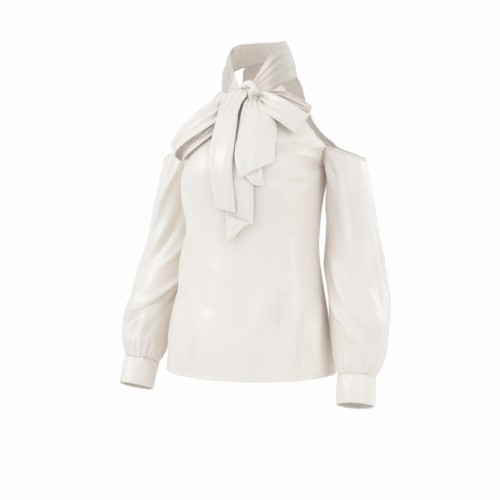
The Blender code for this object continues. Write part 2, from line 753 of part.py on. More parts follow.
def main():
    for item in list(bpy.data.objects):
        bpy.data.objects.remove(item, do_unlink=True)
    fabric = satin("Ivory satin", SATIN, 0.38)
    pearl = satin("Pearl button", PEARL, 0.25)

    make_panel("front", FRONT_PANEL, FRONT_COLUMNS, fabric)
    make_panel("back", BACK_PANEL, BACK_COLUMNS, fabric)
    for word, side in (("left", 1), ("right", -1)):
        make_sleeve(f"sleeve_{word}", side, fabric)
        make_cuff(f"cuff_{word}", side, fabric)
        make_button(f"button_{word}", side, pearl)
        make_binding(f"binding_{word}", side, fabric)
    make_collar(fabric)
    make_wrap("wrap_left", LEFT_BAND, 1, fabric)
    make_wrap("wrap_right", RIGHT_BAND, -1, fabric)
    make_knot(fabric)
    make_loop("bow_loop_left", LEFT_LOOP, fabric)
    make_loop("bow_loop_right", RIGHT_LOOP, fabric)
    make_strip("bow_tail_right", RIGHT_TAIL, 11, 6, 1.5, fabric)
    make_strip("bow_tail_left", LEFT_TAIL, 8, 6, 1.5, fabric)
    make_strip("bow_tail_fold", TAIL_FOLD, 4, 4, 1, fabric)
    make_strip("bow_tail_long", LONG_TAIL, 9, 5, 1, fabric)
    make_strip("bow_tail_end", TAIL_END, 3, 4, 0.5, fabric)


main()
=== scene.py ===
"""Looks of a cold-shoulder halter blouse in ivory satin: cloth, seams, stitches, buttons and a plain stage.

Metres, +Z up. The wearer faces -Y, and the wearer's left is +X. The origin is the middle of the neck
ring. Each piece of cloth is a fine grid, moved onto the garment's form and given its wall. The form is
worked out from the tables of garment sizes below; `s` runs across a piece and `t` along it.
"""

import math
from types import SimpleNamespace

import bmesh
import bpy
import numpy as np
from bpy.props import FloatProperty, FloatVectorProperty, IntProperty, PointerProperty
from bpy.types import Operator, Panel, PropertyGroup
from mathutils import Matrix, Vector


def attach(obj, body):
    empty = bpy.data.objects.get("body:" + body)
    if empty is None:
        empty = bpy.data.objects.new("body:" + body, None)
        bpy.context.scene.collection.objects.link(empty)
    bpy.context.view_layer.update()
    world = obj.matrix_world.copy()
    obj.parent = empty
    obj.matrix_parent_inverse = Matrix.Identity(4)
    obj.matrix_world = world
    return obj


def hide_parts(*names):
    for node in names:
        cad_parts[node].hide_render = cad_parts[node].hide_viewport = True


bl_info = {
    "name": "Halter blouse with a tie neck",
    "version": (1, 0, 0),
    "blender": (4, 5, 0),
    "location": "3D View > Sidebar > Blouse",
    "description": "Builds the satin pieces, the stitching and the studio for a halter blouse",
    "category": "Object",
}

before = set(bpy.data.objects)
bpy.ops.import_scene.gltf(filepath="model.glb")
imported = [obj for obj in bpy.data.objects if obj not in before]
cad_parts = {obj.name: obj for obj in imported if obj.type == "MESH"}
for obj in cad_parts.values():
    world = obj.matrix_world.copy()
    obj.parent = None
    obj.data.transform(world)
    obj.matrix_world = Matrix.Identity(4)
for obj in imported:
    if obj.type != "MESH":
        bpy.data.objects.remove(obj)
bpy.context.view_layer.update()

SIDES = (("left", 1), ("right", -1))    # the wearer's, with the sign of x

# Seams
SEAM = 0.0003               # gap between two pieces at a seam
SOLID_WALL = 0.0012         # thickness of the solids' single cloth
NECK_GAP = 0.0001           # gap where the back meets the neck band
UNDERARM = -0.205
HEM = -0.600
HEM_ROWS = 0.075            # share of a panel's rows that the turned hem gets
EDGE_BLEND = 0.02           # height over which a panel leaves the armhole for its free edge
SOFT_FROM = 0.03            # height from the hem and the neck over which the rows get softened edges


class Table:
    """Sizes under named columns. The first column is the key, and a smooth curve joins the rows."""

    def __init__(self, columns, *rows):
        self.names = columns.split()
        self.values = np.array(rows, dtype=float)
        self.keys = self.values[:, 0]
        self.slopes = np.gradient(self.values, self.keys, axis=0)

    def at(self, key):
        key = np.clip(np.asarray(key, dtype=float), self.keys[0], self.keys[-1])
        i = np.clip(np.searchsorted(self.keys, key, side="right") - 1, 0, len(self.keys) - 2)
        span = (self.keys[i + 1] - self.keys[i])[..., None]
        t = (key - self.keys[i])[..., None] / span
        row = (self.values[i] * (1 + 2 * t) * (1 - t) ** 2
               + self.values[i + 1] * t * t * (3 - 2 * t)
               + self.slopes[i] * span * t * (1 - t) ** 2
               - self.slopes[i + 1] * span * t * t * (1 - t))
        return SimpleNamespace(**dict(zip(self.names, np.moveaxis(row, -1, 0))))

    def each(self):
        return [SimpleNamespace(**dict(zip(self.names, row))) for row in self.values]


# The body below the underarm
BODY = Table(
    "height half_width side_y",
    (-0.600, 0.1760, -0.047),
    (-0.540, 0.1690, -0.047),
    (-0.480, 0.1590, -0.047),
    (-0.420, 0.1475, -0.044),
    (-0.360, 0.1395, -0.038),
    (-0.300, 0.1380, -0.026),
    (-0.250, 0.1400, -0.008),
    (-0.205, 0.1439, 0.014),
)

# Each row of a panel is an arc between its two edges. `arc` is half its angle, and `drop` is how far
# the middle of the row hangs below its edges.
FRONT = Table(
    "height middle_y arc drop",
    (-0.600, -0.184, 90, 0.004),
    (-0.540, -0.181, 90, 0.002),
    (-0.480, -0.173, 90, 0.000),
    (-0.420, -0.164, 90, 0.000),
    (-0.360, -0.158, 90, 0.000),
    (-0.300, -0.159, 90, 0.000),
    (-0.250, -0.166, 90, 0.000),
    (-0.205, -0.169, 86, 0.000),
    (-0.158, -0.157, 70, 0.002),
    (-0.127, -0.140, 62, 0.006),
    (-0.090, -0.113, 58, 0.012),
    (-0.059, -0.090, 56, 0.019),
    (-0.034, -0.0755, 55, 0.025),
)
BACK = Table(
    "height middle_y arc drop",
    (-0.600, 0.080, 90, 0.002),
    (-0.540, 0.073, 90, 0.000),
    (-0.480, 0.060, 90, 0.000),
    (-0.420, 0.048, 90, 0.000),
    (-0.360, 0.042, 90, 0.000),
    (-0.300, 0.046, 90, 0.000),
    (-0.250, 0.056, 90, 0.000),
    (-0.205, 0.066, 86, 0.000),
    (-0.158, 0.077, 66, 0.000),
    (-0.105, 0.081, 56, 0.000),
    (-0.060, 0.079, 52, -0.002),
    (-0.015, 0.072, 50, -0.005),
    (0.0165, 0.064, 50, -0.0083),
)
# The free halter edges, from the sleeve up to the neck.
FRONT_EDGE = Table(
    "height x y",
    (-0.158, 0.1530, -0.034),
    (-0.127, 0.1350, -0.050),
    (-0.090, 0.1070, -0.058),
    (-0.059, 0.0800, -0.056),
    (-0.034, 0.0610, -0.043),
)
BACK_EDGE = Table(
    "height x y",
    (-0.154, 0.1480, 0.047),
    (-0.130, 0.1180, 0.060),
    (-0.105, 0.0955, 0.065),
    (-0.068, 0.0785, 0.066),
    (-0.015, 0.0610, 0.060),
    (0.0165, 0.0490, 0.041),
)
BUST = SimpleNamespace(x=0.082, height=-0.200, spread=0.055, out=0.017)

# Large soft folds, as in the solids: each runs from (x0, z0) to (x1, z1).
FRONT_FOLDS = Table(
    "x0 z0 x1 z1 bow width out",
    (0.140, -0.160, 0.050, -0.146, 0, 0.015, 0.0055),
    (0.142, -0.172, 0.085, -0.196, 0, 0.015, 0.0045),
    (-0.140, -0.162, -0.060, -0.150, 0, 0.015, 0.0050),
    (-0.125, -0.190, -0.116, -0.340, 0, 0.015, 0.0065),
    (-0.112, -0.330, -0.135, -0.430, 0, 0.016, 0.0060),
    (0.096, -0.225, 0.108, -0.400, 0, 0.018, 0.0055),
    (-0.052, -0.470, -0.060, -0.600, 0, 0.020, 0.0060),
    (0.020, -0.480, 0.028, -0.600, 0, 0.024, 0.0045),
    (0.135, -0.430, 0.150, -0.600, 0, 0.018, 0.0065),
    (-0.130, -0.470, -0.140, -0.600, 0, 0.020, 0.0060),
)
BACK_FOLDS = Table(
    "x0 z0 x1 z1 bow width out",
    (-0.095, -0.230, -0.085, -0.420, 0, 0.020, 0.0060),
    (0.090, -0.240, 0.098, -0.430, 0, 0.020, 0.0060),
    (-0.070, -0.450, -0.095, -0.600, 0, 0.022, 0.0065),
    (0.010, -0.430, 0.000, -0.600, 0, 0.024, 0.0055),
    (0.085, -0.460, 0.100, -0.600, 0, 0.022, 0.0065),
)
# Creases between the large folds. `bow` is how far a crease curves aside, and a trough has a
# negative `out`.
FRONT_CREASES = Table(
    "x0 z0 x1 z1 bow width out",
    (0.146, -0.164, 0.092, -0.150, 0.003, 0.0065, -0.0040),
    (0.130, -0.158, 0.056, -0.147, 0.002, 0.0130, -0.0052),
    (0.074, -0.212, 0.104, -0.224, 0.004, 0.0190, -0.0050),
    (0.112, -0.452, 0.082, -0.560, 0.006, 0.0150, -0.0042),
    (0.088, -0.424, 0.062, -0.530, 0.005, 0.0170, 0.0034),
    (-0.020, -0.340, -0.012, -0.560, 0.006, 0.0280, 0.0030),
    (0.040, -0.350, 0.048, -0.540, -0.005, 0.0240, -0.0032),
    (-0.070, -0.300, -0.058, -0.470, 0.006, 0.0220, -0.0030),
    (0.147, -0.177, 0.090, -0.171, 0.003, 0.0070, 0.0046),
    (0.146, -0.189, 0.112, -0.194, -0.003, 0.0065, -0.0036),
    (0.143, -0.201, 0.104, -0.216, -0.004, 0.0060, 0.0026),
    (0.098, -0.143, 0.048, -0.134, 0.004, 0.0080, 0.0026),
    (0.120, -0.214, 0.112, -0.244, 0.002, 0.0120, -0.0042),
    (0.087, -0.236, 0.110, -0.296, -0.004, 0.0070, 0.0028),
    (0.137, -0.214, 0.127, -0.262, 0.003, 0.0045, 0.0024),
    (0.132, -0.226, 0.120, -0.268, -0.003, 0.0045, -0.0020),
    (-0.143, -0.162, -0.084, -0.158, 0.003, 0.0065, -0.0030),
    (-0.143, -0.174, -0.096, -0.182, -0.003, 0.0065, 0.0034),
    (-0.121, -0.183, -0.111, -0.290, 0.004, 0.0070, 0.0044),
    (-0.104, -0.206, -0.098, -0.290, -0.004, 0.0080, -0.0026),
    (-0.132, -0.214, -0.126, -0.300, 0.003, 0.0060, -0.0026),
    (-0.092, -0.312, -0.124, -0.446, 0.007, 0.0080, 0.0056),
    (-0.116, -0.322, -0.132, -0.410, 0.003, 0.0075, -0.0034),
    (-0.104, -0.432, -0.116, -0.476, 0.003, 0.0110, -0.0044),
    (-0.138, -0.442, -0.152, -0.560, 0.004, 0.0065, 0.0030),
    (0.103, -0.330, 0.099, -0.410, 0.004, 0.0090, -0.0030),
    (0.082, -0.392, 0.118, -0.462, -0.004, 0.0080, 0.0034),
    (0.094, -0.452, 0.112, -0.530, 0.003, 0.0120, -0.0030),
    (0.118, -0.330, 0.128, -0.440, 0.004, 0.0080, 0.0024),
    (0.140, -0.470, 0.146, -0.600, 0.003, 0.0085, -0.0052),
    (0.156, -0.456, 0.163, -0.590, 0.003, 0.0060, 0.0042),
    (0.118, -0.492, 0.124, -0.600, -0.003, 0.0075, 0.0034),
    (0.100, -0.540, 0.106, -0.600, 0.002, 0.0080, -0.0022),
    (-0.062, -0.528, -0.068, -0.600, 0.002, 0.0095, -0.0044),
    (-0.030, -0.500, -0.022, -0.600, 0.003, 0.0180, 0.0030),
    (-0.088, -0.500, -0.098, -0.600, -0.003, 0.0085, 0.0028),
    (-0.118, -0.520, -0.128, -0.600, 0.003, 0.0080, -0.0032),
    (0.042, -0.520, 0.050, -0.600, -0.004, 0.0120, 0.0022),
    (0.012, -0.550, 0.014, -0.600, 0.002, 0.0090, -0.0020),
    (-0.040, -0.385, 0.040, -0.405, 0.010, 0.0120, 0.0011),
    (-0.074, -0.440, -0.010, -0.470, 0.008, 0.0120, -0.0012),
    (0.020, -0.440, 0.062, -0.500, 0.006, 0.0130, 0.0013),
)
BACK_CREASES = Table(
    "x0 z0 x1 z1 bow width out",
    (0.140, -0.168, 0.064, -0.196, 0.008, 0.0070, 0.0042),
    (0.136, -0.182, 0.076, -0.226, 0.006, 0.0070, -0.0034),
    (0.132, -0.198, 0.090, -0.262, 0.005, 0.0070, 0.0030),
    (-0.140, -0.166, -0.070, -0.188, -0.007, 0.0070, 0.0040),
    (-0.136, -0.180, -0.080, -0.216, -0.005, 0.0070, -0.0032),
    (-0.130, -0.200, -0.096, -0.250, -0.004, 0.0065, 0.0026),
    (-0.112, -0.246, -0.108, -0.400, 0.005, 0.0075, 0.0042),
    (-0.094, -0.270, -0.090, -0.380, -0.004, 0.0070, -0.0030),
    (-0.070, -0.280, -0.062, -0.410, -0.004, 0.0080, 0.0026),
    (0.108, -0.256, 0.118, -0.404, -0.005, 0.0075, 0.0040),
    (0.092, -0.270, 0.096, -0.390, 0.004, 0.0070, -0.0030),
    (0.070, -0.280, 0.076, -0.400, 0.005, 0.0085, 0.0026),
    (-0.036, -0.326, 0.040, -0.350, 0.010, 0.0080, 0.0030),
    (-0.054, -0.352, 0.020, -0.366, -0.009, 0.0075, -0.0026),
    (0.000, -0.388, 0.074, -0.374, 0.008, 0.0075, 0.0026),
    (-0.070, -0.392, -0.006, -0.402, 0.007, 0.0070, 0.0020),
    (-0.096, -0.430, -0.122, -0.596, 0.006, 0.0075, 0.0044),
    (-0.076, -0.470, -0.090, -0.600, -0.005, 0.0075, -0.0036),
    (-0.050, -0.460, -0.056, -0.600, -0.006, 0.0085, 0.0034),
    (0.030, -0.450, 0.040, -0.600, 0.005, 0.0085, -0.0032),
    (0.056, -0.476, 0.064, -0.600, -0.005, 0.0075, 0.0036),
    (0.120, -0.460, 0.136, -0.596, 0.006, 0.0075, 0.0042),
    (0.100, -0.490, 0.110, -0.600, 0.004, 0.0070, -0.0034),
    (-0.018, -0.470, -0.026, -0.600, 0.004, 0.0085, -0.0026),
    (0.148, -0.500, 0.158, -0.600, 0.003, 0.0065, -0.0030),
    (-0.146, -0.480, -0.156, -0.600, -0.003, 0.0065, 0.0032),
    (-0.052, -0.090, -0.030, -0.210, 0.006, 0.0090, 0.0022),
    (0.050, -0.080, 0.034, -0.200, -0.006, 0.0090, 0.0022),
    (0.000, -0.040, 0.004, -0.160, 0.004, 0.0100, -0.0014),
)

# Fine relief of a panel: slow unevenness, the dip along its seams, and the turned hem's step, its
# groove at the stitches and the puckers that they draw
RELIEF = SimpleNamespace(slow=0.0004, seam_dip=0.0007, seam_width=0.0030, hem_step=0.0004, groove=0.0006,
                         groove_width=0.0016, pucker=0.00035, pucker_width=0.0065)

# Middle line of the left arm, from the top of the sleeve (0) to the cuff seam (1).
ARM = Table(
    "along x y z radius",
    (0.00, 0.1770, 0.014, -0.170, 0.0455),
    (0.18, 0.1900, 0.006, -0.247, 0.0480),
    (0.37, 0.1990, 0.002, -0.330, 0.0520),
    (0.55, 0.2070, -0.006, -0.404, 0.0575),
    (0.69, 0.2190, -0.024, -0.466, 0.0590),
    (0.80, 0.2290, -0.044, -0.513, 0.0570),
    (0.90, 0.2330, -0.060, -0.556, 0.0480),
    (1.00, 0.2325, -0.076, -0.597, 0.0345),
)
# Top edge of the sleeve round the arm: 0 under the arm, 90 front, 180 outside, 270 back.
CAP = Table(
    "angle reach height",
    (-48, 0.0420, -0.154),
    (-24, 0.0355, -0.180),
    (0, 0.0317, -0.205),
    (32, 0.0405, -0.184),
    (64, 0.0510, -0.158),
    (90, 0.0485, -0.163),
    (135, 0.0460, -0.175),
    (180, 0.0445, -0.182),
    (225, 0.0440, -0.178),
    (270, 0.0435, -0.167),
    (312, 0.0420, -0.154),
)
FRONT_JOIN = 64             # angles where the sleeve leaves the front and the back
BACK_JOIN = -48
ARM_LEAN = np.array((0.065, -0.35, -1.0))
ELBOW = 0.45                # place along the arm from which it leans to the front
RIGHT_LIFT = 0.007          # the right forearm is held a little higher
SLEEVE_CLEAR = 0.0030       # least distance between the sleeve and the body
BESIDE = SimpleNamespace(down_to=0.9, front=-0.12, back=0.08)   # the part of a sleeve beside the body

LEFT_SLEEVE_FOLDS = Table(
    "angle0 along0 angle1 along1 bow width out",
    (25, 0.48, 95, 0.80, 0, 0.016, 0.0060),
    (95, 0.62, 180, 0.88, 0, 0.014, 0.0050),
    (150, 0.10, 165, 0.62, 0, 0.018, 0.0040),
    (60, 0.03, 100, 0.40, 0, 0.014, 0.0035),
    (250, 0.30, 300, 0.75, 0, 0.018, 0.0050),
    (215, 0.60, 240, 0.90, 0, 0.014, 0.0050),
)
RIGHT_SLEEVE_FOLDS = Table(
    "angle0 along0 angle1 along1 bow width out",
    (35, 0.18, 130, 0.55, 0, 0.016, 0.0060),
    (30, 0.60, 95, 0.78, 0, 0.014, 0.0060),
    (95, 0.64, 150, 0.80, 0, 0.014, 0.0045),
    (75, 0.03, 120, 0.30, 0, 0.014, 0.0035),
    (200, 0.25, 250, 0.70, 0, 0.018, 0.0050),
    (290, 0.55, 270, 0.88, 0, 0.014, 0.0050),
)
LEFT_SLEEVE_CREASES = Table(
    "angle0 along0 angle1 along1 bow width out",
    (36, 0.48, 94, 0.79, -6, 0.0085, -0.0056),
    (90, 0.74, 142, 0.90, 4, 0.0115, -0.0046),
    (46, 0.42, 116, 0.80, -6, 0.0110, 0.0044),
    (36, 0.62, 106, 0.88, -6, 0.0075, 0.0040),
    (132, 0.66, 168, 0.86, 0, 0.0075, -0.0040),
    (122, 0.58, 158, 0.83, 0, 0.0080, 0.0040),
    (78, 0.800, 112, 0.905, -4, 0.0110, 0.0036),
    (152, 0.50, 156, 0.72, 3, 0.0080, -0.0030),
    (62, 0.03, 88, 0.14, 0, 0.0055, -0.0034),
    (50, 0.03, 70, 0.18, 0, 0.0055, 0.0028),
    (84, 0.04, 96, 0.24, 0, 0.0065, 0.0022),
    (100, 0.14, 108, 0.48, 4, 0.0080, -0.0024),
    (84, 0.20, 92, 0.52, 4, 0.0080, 0.0024),
    (130, 0.05, 136, 0.40, 4, 0.0080, 0.0024),
    (168, 0.20, 182, 0.66, -6, 0.0080, -0.0030),
    (184, 0.30, 206, 0.78, -6, 0.0075, 0.0038),
    (206, 0.48, 226, 0.84, 6, 0.0070, -0.0034),
    (222, 0.14, 254, 0.56, 6, 0.0080, 0.0040),
    (242, 0.30, 276, 0.66, 6, 0.0075, -0.0036),
    (262, 0.46, 314, 0.74, -8, 0.0075, 0.0044),
    (282, 0.58, 328, 0.84, 6, 0.0070, -0.0036),
    (300, 0.04, 288, 0.34, 6, 0.0070, 0.0032),
    (326, 0.10, 318, 0.44, 5, 0.0070, -0.0028),
    (338, 0.30, 350, 0.66, 6, 0.0070, 0.0030),
    (10, 0.30, 16, 0.62, 4, 0.0065, 0.0026),
)
RIGHT_SLEEVE_CREASES = Table(
    "angle0 along0 angle1 along1 bow width out",
    (32, 0.14, 102, 0.52, -4, 0.0130, -0.0064),
    (66, 0.02, 128, 0.42, 4, 0.0080, 0.0050),
    (84, 0.02, 112, 0.20, 0, 0.0060, -0.0024),
    (4, 0.30, 80, 0.56, -4, 0.0100, 0.0052),
    (112, 0.48, 140, 0.68, 4, 0.0080, 0.0034),
    (6, 0.58, 42, 0.80, 3, 0.0085, -0.0046),
    (26, 0.57, 80, 0.745, -3, 0.0075, 0.0056),
    (32, 0.61, 84, 0.776, -3, 0.0060, -0.0044),
    (78, 0.745, 138, 0.820, 3, 0.0110, 0.0044),
    (80, 0.785, 132, 0.870, 3, 0.0105, -0.0040),
    (84, 0.820, 106, 0.920, 0, 0.0100, -0.0036),
    (48, 0.800, 66, 0.910, 0, 0.0095, -0.0034),
    (140, 0.10, 150, 0.56, 5, 0.0080, -0.0030),
    (156, 0.30, 172, 0.76, -6, 0.0080, 0.0040),
    (178, 0.48, 194, 0.84, 5, 0.0070, -0.0034),
    (198, 0.54, 214, 0.84, 6, 0.0070, 0.0040),
    (206, 0.10, 226, 0.48, 4, 0.0080, -0.0030),
    (226, 0.20, 258, 0.54, -6, 0.0080, 0.0040),
    (250, 0.34, 280, 0.64, 5, 0.0070, -0.0034),
    (266, 0.46, 316, 0.74, 8, 0.0075, 0.0044),
    (292, 0.60, 334, 0.84, -6, 0.0070, -0.0036),
    (306, 0.04, 290, 0.34, 6, 0.0070, 0.0032),
    (330, 0.10, 322, 0.44, -5, 0.0070, -0.0028),
    (344, 0.30, 352, 0.62, 6, 0.0070, 0.0028),
)
# Gathers above a cuff: the shortest and the longest along the sleeve, their width at the seam and how
# much it grows, the share of their height at the seam, the share that the lowest has of full height,
# their lean in degrees, and how far the sleeve draws in between them
GATHERS = SimpleNamespace(shortest=0.09, longest=0.30, width=0.0030, spread=0.0085, tuck=0.5, lowest=0.55,
                          lean=9, draw_in=0.35)
# What the cloth of a sleeve adds: slow unevenness, and how far its end goes into the cuff
SLEEVE_RELIEF = SimpleNamespace(slow=0.0005, sewn_under=0.0014, sewn_down=0.0022)
# A cuff's swell, the pulls below its seam and their length, its unevenness, and its stitched groove
CUFF_RELIEF = SimpleNamespace(swell=0.0010, pulls=0.0005, pull_length=0.018, slow=0.0005, fine=0.0003,
                              groove=0.0003)

CUFF = SimpleNamespace(height=0.0555, radius=0.0342, step=0.0023, overlap=38, start=205, gap=0.0002,
                       stitched=0.0022)
# A button's profile, out from its middle and up from its seat, in radii and thicknesses.
BUTTON = SimpleNamespace(radius=0.0055, thickness=0.0024, profile=(
    (0.0, 0.0), (0.62, 0.0), (0.86, 0.14), (0.98, 0.38), (1.0, 0.58), (0.95, 0.80),
    (0.85, 0.92), (0.76, 0.86), (0.70, 0.74), (0.50, 0.80), (0.25, 0.86), (0.0, 0.88)))

# The neck band round the neck, by the angle from the front; each side has its own fall.
RIGHT_BAND = Table(
    "angle low high low_radius high_radius",
    (-6, -0.0600, -0.0460, 0.0810, 0.0810),
    (5, -0.0580, -0.0400, 0.0800, 0.0775),
    (20, -0.0520, -0.0180, 0.0780, 0.0700),
    (40, -0.0430, 0.0180, 0.0770, 0.0640),
    (65, -0.0300, 0.0400, 0.0776, 0.0610),
    (90, -0.0170, 0.0550, 0.0776, 0.0590),
    (115, 0.0100, 0.0640, 0.0740, 0.0575),
    (135, 0.0190, 0.0665, 0.0690, 0.0568),
    (150, 0.0235, 0.0680, 0.0660, 0.0565),
    (180, 0.0260, 0.0690, 0.0640, 0.0560),
)
LEFT_BAND = Table(
    "angle low high low_radius high_radius",
    (8, -0.0600, -0.0380, 0.0810, 0.0830),
    (20, -0.0540, -0.0080, 0.0800, 0.0770),
    (34, -0.0455, 0.0190, 0.0787, 0.0675),
    (53, -0.0300, 0.0420, 0.0776, 0.0600),
    (90, -0.0140, 0.0620, 0.0776, 0.0545),
    (115, -0.0020, 0.0655, 0.0740, 0.0520),
    (150, 0.0200, 0.0685, 0.0660, 0.0555),
    (180, 0.0260, 0.0690, 0.0640, 0.0560),
)
COLLAR_HALF_ANGLE = 64
BAND_BULGE = 0.004          # how far the band swells between its edges
BAND_UNEVEN = 0.0004
# The band's folds: the degrees from the collar over which they start, their least share of full depth,
# the angle from the front at which they begin to rise to it, and the degrees that this takes
BAND_GATHER = SimpleNamespace(start_over=40, least=0.14, rises_at=92, rises_over=66)
COLLAR_RELIEF = SimpleNamespace(pulls=0.0005, seam_dip=0.0004)
PAINTED_SHADE_MIDDLE = 0.092         # metres along the band to the middle of its painted shade
PAINTED_SHADE_FADE = (0.035, 0.062)  # metres from that place over which the painted shade fades out
BAND_PAINTED_SHADE = (0.76, 0.75, 0.735)     # painted shade: the dark that shows through the single cloth, painted into its colour round the band's middle
BAND_DULLER = 0.15          # the gathered band shines less, so its face is this much rougher
# Folds along the gathered band: place across it at the collar and at the knot.
RIGHT_BAND_FOLDS = Table(
    "at_collar at_knot width out",
    (0.20, 0.16, 0.050, 0.0014),
    (0.44, 0.40, 0.060, 0.0022),
    (0.66, 0.58, 0.050, -0.0016),
    (0.86, 0.78, 0.050, 0.0020),
)
LEFT_BAND_FOLDS = Table(
    "at_collar at_knot width out",
    (0.06, 0.12, 0.045, 0.0022),
    (0.20, 0.26, 0.040, -0.0018),
    (0.33, 0.38, 0.042, 0.0028),
    (0.46, 0.50, 0.036, -0.0022),
    (0.58, 0.62, 0.040, 0.0026),
    (0.72, 0.73, 0.036, -0.0020),
    (0.82, 0.83, 0.038, 0.0024),
    (0.94, 0.93, 0.034, -0.0014),
)

# The knot: a strip with an open middle, wound from an angle through its turns
KNOT = SimpleNamespace(center=np.array((0.025, -0.0932, -0.0530)), half=np.array((0.0125, 0.0115, 0.0195)),
                       start=-100, turns=1.15, open_ends=0.07, overlap=0.0022, lean=0.35, folds=3.2,
                       fold_depth=0.0011)
# The strand that crosses over the knot: its middle line, half its width and half its thickness.
STRAND = Table(
    "along x y z half thick",
    (0.00, 0.0000, -0.0950, -0.0385, 0.0040, 0.0020),
    (0.15, 0.0070, -0.1020, -0.0350, 0.0052, 0.0028),
    (0.32, 0.0160, -0.1060, -0.0315, 0.0060, 0.0034),
    (0.46, 0.0240, -0.1080, -0.0320, 0.0060, 0.0036),
    (0.58, 0.0300, -0.1085, -0.0370, 0.0056, 0.0036),
    (0.70, 0.0305, -0.1090, -0.0435, 0.0050, 0.0034),
    (0.82, 0.0262, -0.1090, -0.0500, 0.0042, 0.0030),
    (0.92, 0.0243, -0.1070, -0.0570, 0.0034, 0.0026),
    (1.00, 0.0245, -0.1040, -0.0640, 0.0024, 0.0018),
)
STRAND_PLEATS = 5
# The curl of cloth beside the knot.
SWIRL = SimpleNamespace(center=np.array((0.0450, -0.1075, -0.0590)), half=np.array((0.0142, 0.0088)),
                        start=172, turns=1.12, inner=0.62, depth=0.0080, lean=0.16, inward=0.0045)
RIGHT_LOOP = Table(
    "along x y z width gap skew back lip",
    (0.00, 0.0060, -0.0905, -0.0550, 0.020, 0.0050, 0.000, 1.0, 0.000),
    (0.30, -0.031, -0.1070, -0.0765, 0.042, 0.0150, -0.004, 1.3, 0.010),
    (0.62, -0.072, -0.1280, -0.1085, 0.040, 0.0250, -0.011, 1.5, 0.021),
    (0.86, -0.106, -0.1240, -0.1335, 0.035, 0.0230, -0.0135, 1.6, 0.021),
    (1.00, -0.132, -0.1110, -0.1550, 0.030, 0.0190, -0.010, 1.6, 0.015),
)
LEFT_LOOP = Table(
    "along x y z width gap skew back lip",
    (0.00, 0.0400, -0.0950, -0.0545, 0.022, 0.0060, 0.000, 1.0, 0.000),
    (0.35, 0.072, -0.1070, -0.0740, 0.040, 0.0150, 0.001, 1.50, 0.000),
    (0.70, 0.100, -0.1085, -0.0900, 0.043, 0.0170, 0.004, 1.50, 0.000),
    (1.00, 0.126, -0.0990, -0.1080, 0.044, 0.0160, 0.011, 1.20, 0.000),
)
LOOP_CLEAR = 0.0070         # least distance of a loop's back layer from the front
LOOP_WAVE = 0.0022          # the broad wave across a loop's two layers
LOOP_ROLL = 0.0022          # how far a loop's edges roll in
LOOP_GATHERS = 3.2          # small folds across a loop's back layer
LOOP_GATHER_DEPTH = 0.0024
OUT_TO, BACK_FROM = 0.44, 0.56      # where along its strip a loop starts to turn and has turned
# Creases of a loop, from a place across it at the knot to another at its reach.
LOOP_CREASES = Table(
    "start end reach width out",
    (-0.75, -0.86, 0.55, 0.16, 0.0016),
    (-0.42, -0.50, 0.70, 0.15, -0.0018),
    (-0.12, -0.18, 0.85, 0.16, 0.0022),
    (0.16, 0.22, 0.60, 0.13, -0.0016),
    (0.42, 0.55, 0.95, 0.15, 0.0020),
    (0.74, 0.84, 0.50, 0.14, -0.0014),
)

# The hanging ends: edges of each stretch on the front, and how far it stands off.
RIGHT_TAIL = Table(
    "along x_left z_left x_right z_right out",
    (0.00, -0.018, -0.0400, 0.0190, -0.0420, 0.0215),
    (0.06, -0.0315, -0.0540, 0.0184, -0.0545, 0.0320),
    (0.13, -0.0330, -0.0700, 0.0115, -0.0690, 0.0335),
    (0.20, -0.0335, -0.0880, 0.0095, -0.0880, 0.0315),
    (0.30, -0.0335, -0.1130, 0.0132, -0.1130, 0.0245),
    (0.45, -0.0322, -0.1500, 0.0180, -0.1500, 0.0165),
    (0.70, -0.027, -0.2100, 0.0205, -0.2120, 0.0120),
    (1.00, -0.019, -0.2750, 0.0215, -0.2830, 0.0110),
)
LEFT_TAIL = Table(
    "along x_left z_left x_right z_right out",
    (0.00, 0.0190, -0.0560, 0.0400, -0.0560, 0.0200),
    (0.10, 0.0145, -0.0690, 0.0500, -0.0700, 0.0245),
    (0.24, 0.0130, -0.0960, 0.0715, -0.0940, 0.0222),
    (0.50, 0.0185, -0.1440, 0.0900, -0.1320, 0.0170),
    (0.75, 0.0262, -0.1830, 0.0935, -0.1605, 0.0150),
    (1.00, 0.0360, -0.2180, 0.0950, -0.1875, 0.0136),
)
TAIL_FOLD = Table(
    "along x_left z_left x_right z_right out",
    (0.00, 0.036, -0.1700, 0.0720, -0.1650, 0.0106),
    (0.60, 0.040, -0.2060, 0.0760, -0.1990, 0.0106),
    (1.00, 0.0600, -0.2300, 0.0785, -0.2345, 0.0106),
)
LONG_TAIL = Table(
    "along x_left z_left x_right z_right out",
    (0.00, 0.020, -0.1150, 0.0500, -0.1150, 0.0032),
    (0.40, 0.010, -0.2000, 0.0600, -0.2000, 0.0060),
    (0.70, 0.002, -0.2500, 0.0570, -0.2500, 0.0065),
    (1.00, 0.000, -0.2900, 0.0520, -0.3060, 0.0065),
)
TAIL_END = Table(
    "along x_left z_left x_right z_right out",
    (0.00, 0.001, -0.2870, 0.0500, -0.3040, 0.0105),
    (0.60, 0.0015, -0.3220, 0.0300, -0.3160, 0.0105),
    (1.00, 0.003, -0.3470, 0.0075, -0.3400, 0.0110),
)
# Each stretch: ripples across it, whether it comes from the knot, and how far its inner side tucks in
TAILS = (
    ("bow_tail_right", RIGHT_TAIL, 1.5, True, 0.0),
    ("bow_tail_left", LEFT_TAIL, 1.5, True, 0.006),
    ("bow_tail_fold", TAIL_FOLD, 1.0, False, 0.0),
    ("bow_tail_long", LONG_TAIL, 1.0, False, 0.0),
    ("bow_tail_end", TAIL_END, 0.5, False, 0.0),
)
# Relief of the hanging ends: lengthwise ripples, unevenness, rolled edges, pleats below the knot
TAIL_RELIEF = SimpleNamespace(ripple=0.0012, uneven=0.0005, roll=0.0012, pleat=0.0018, pleats=3.2)

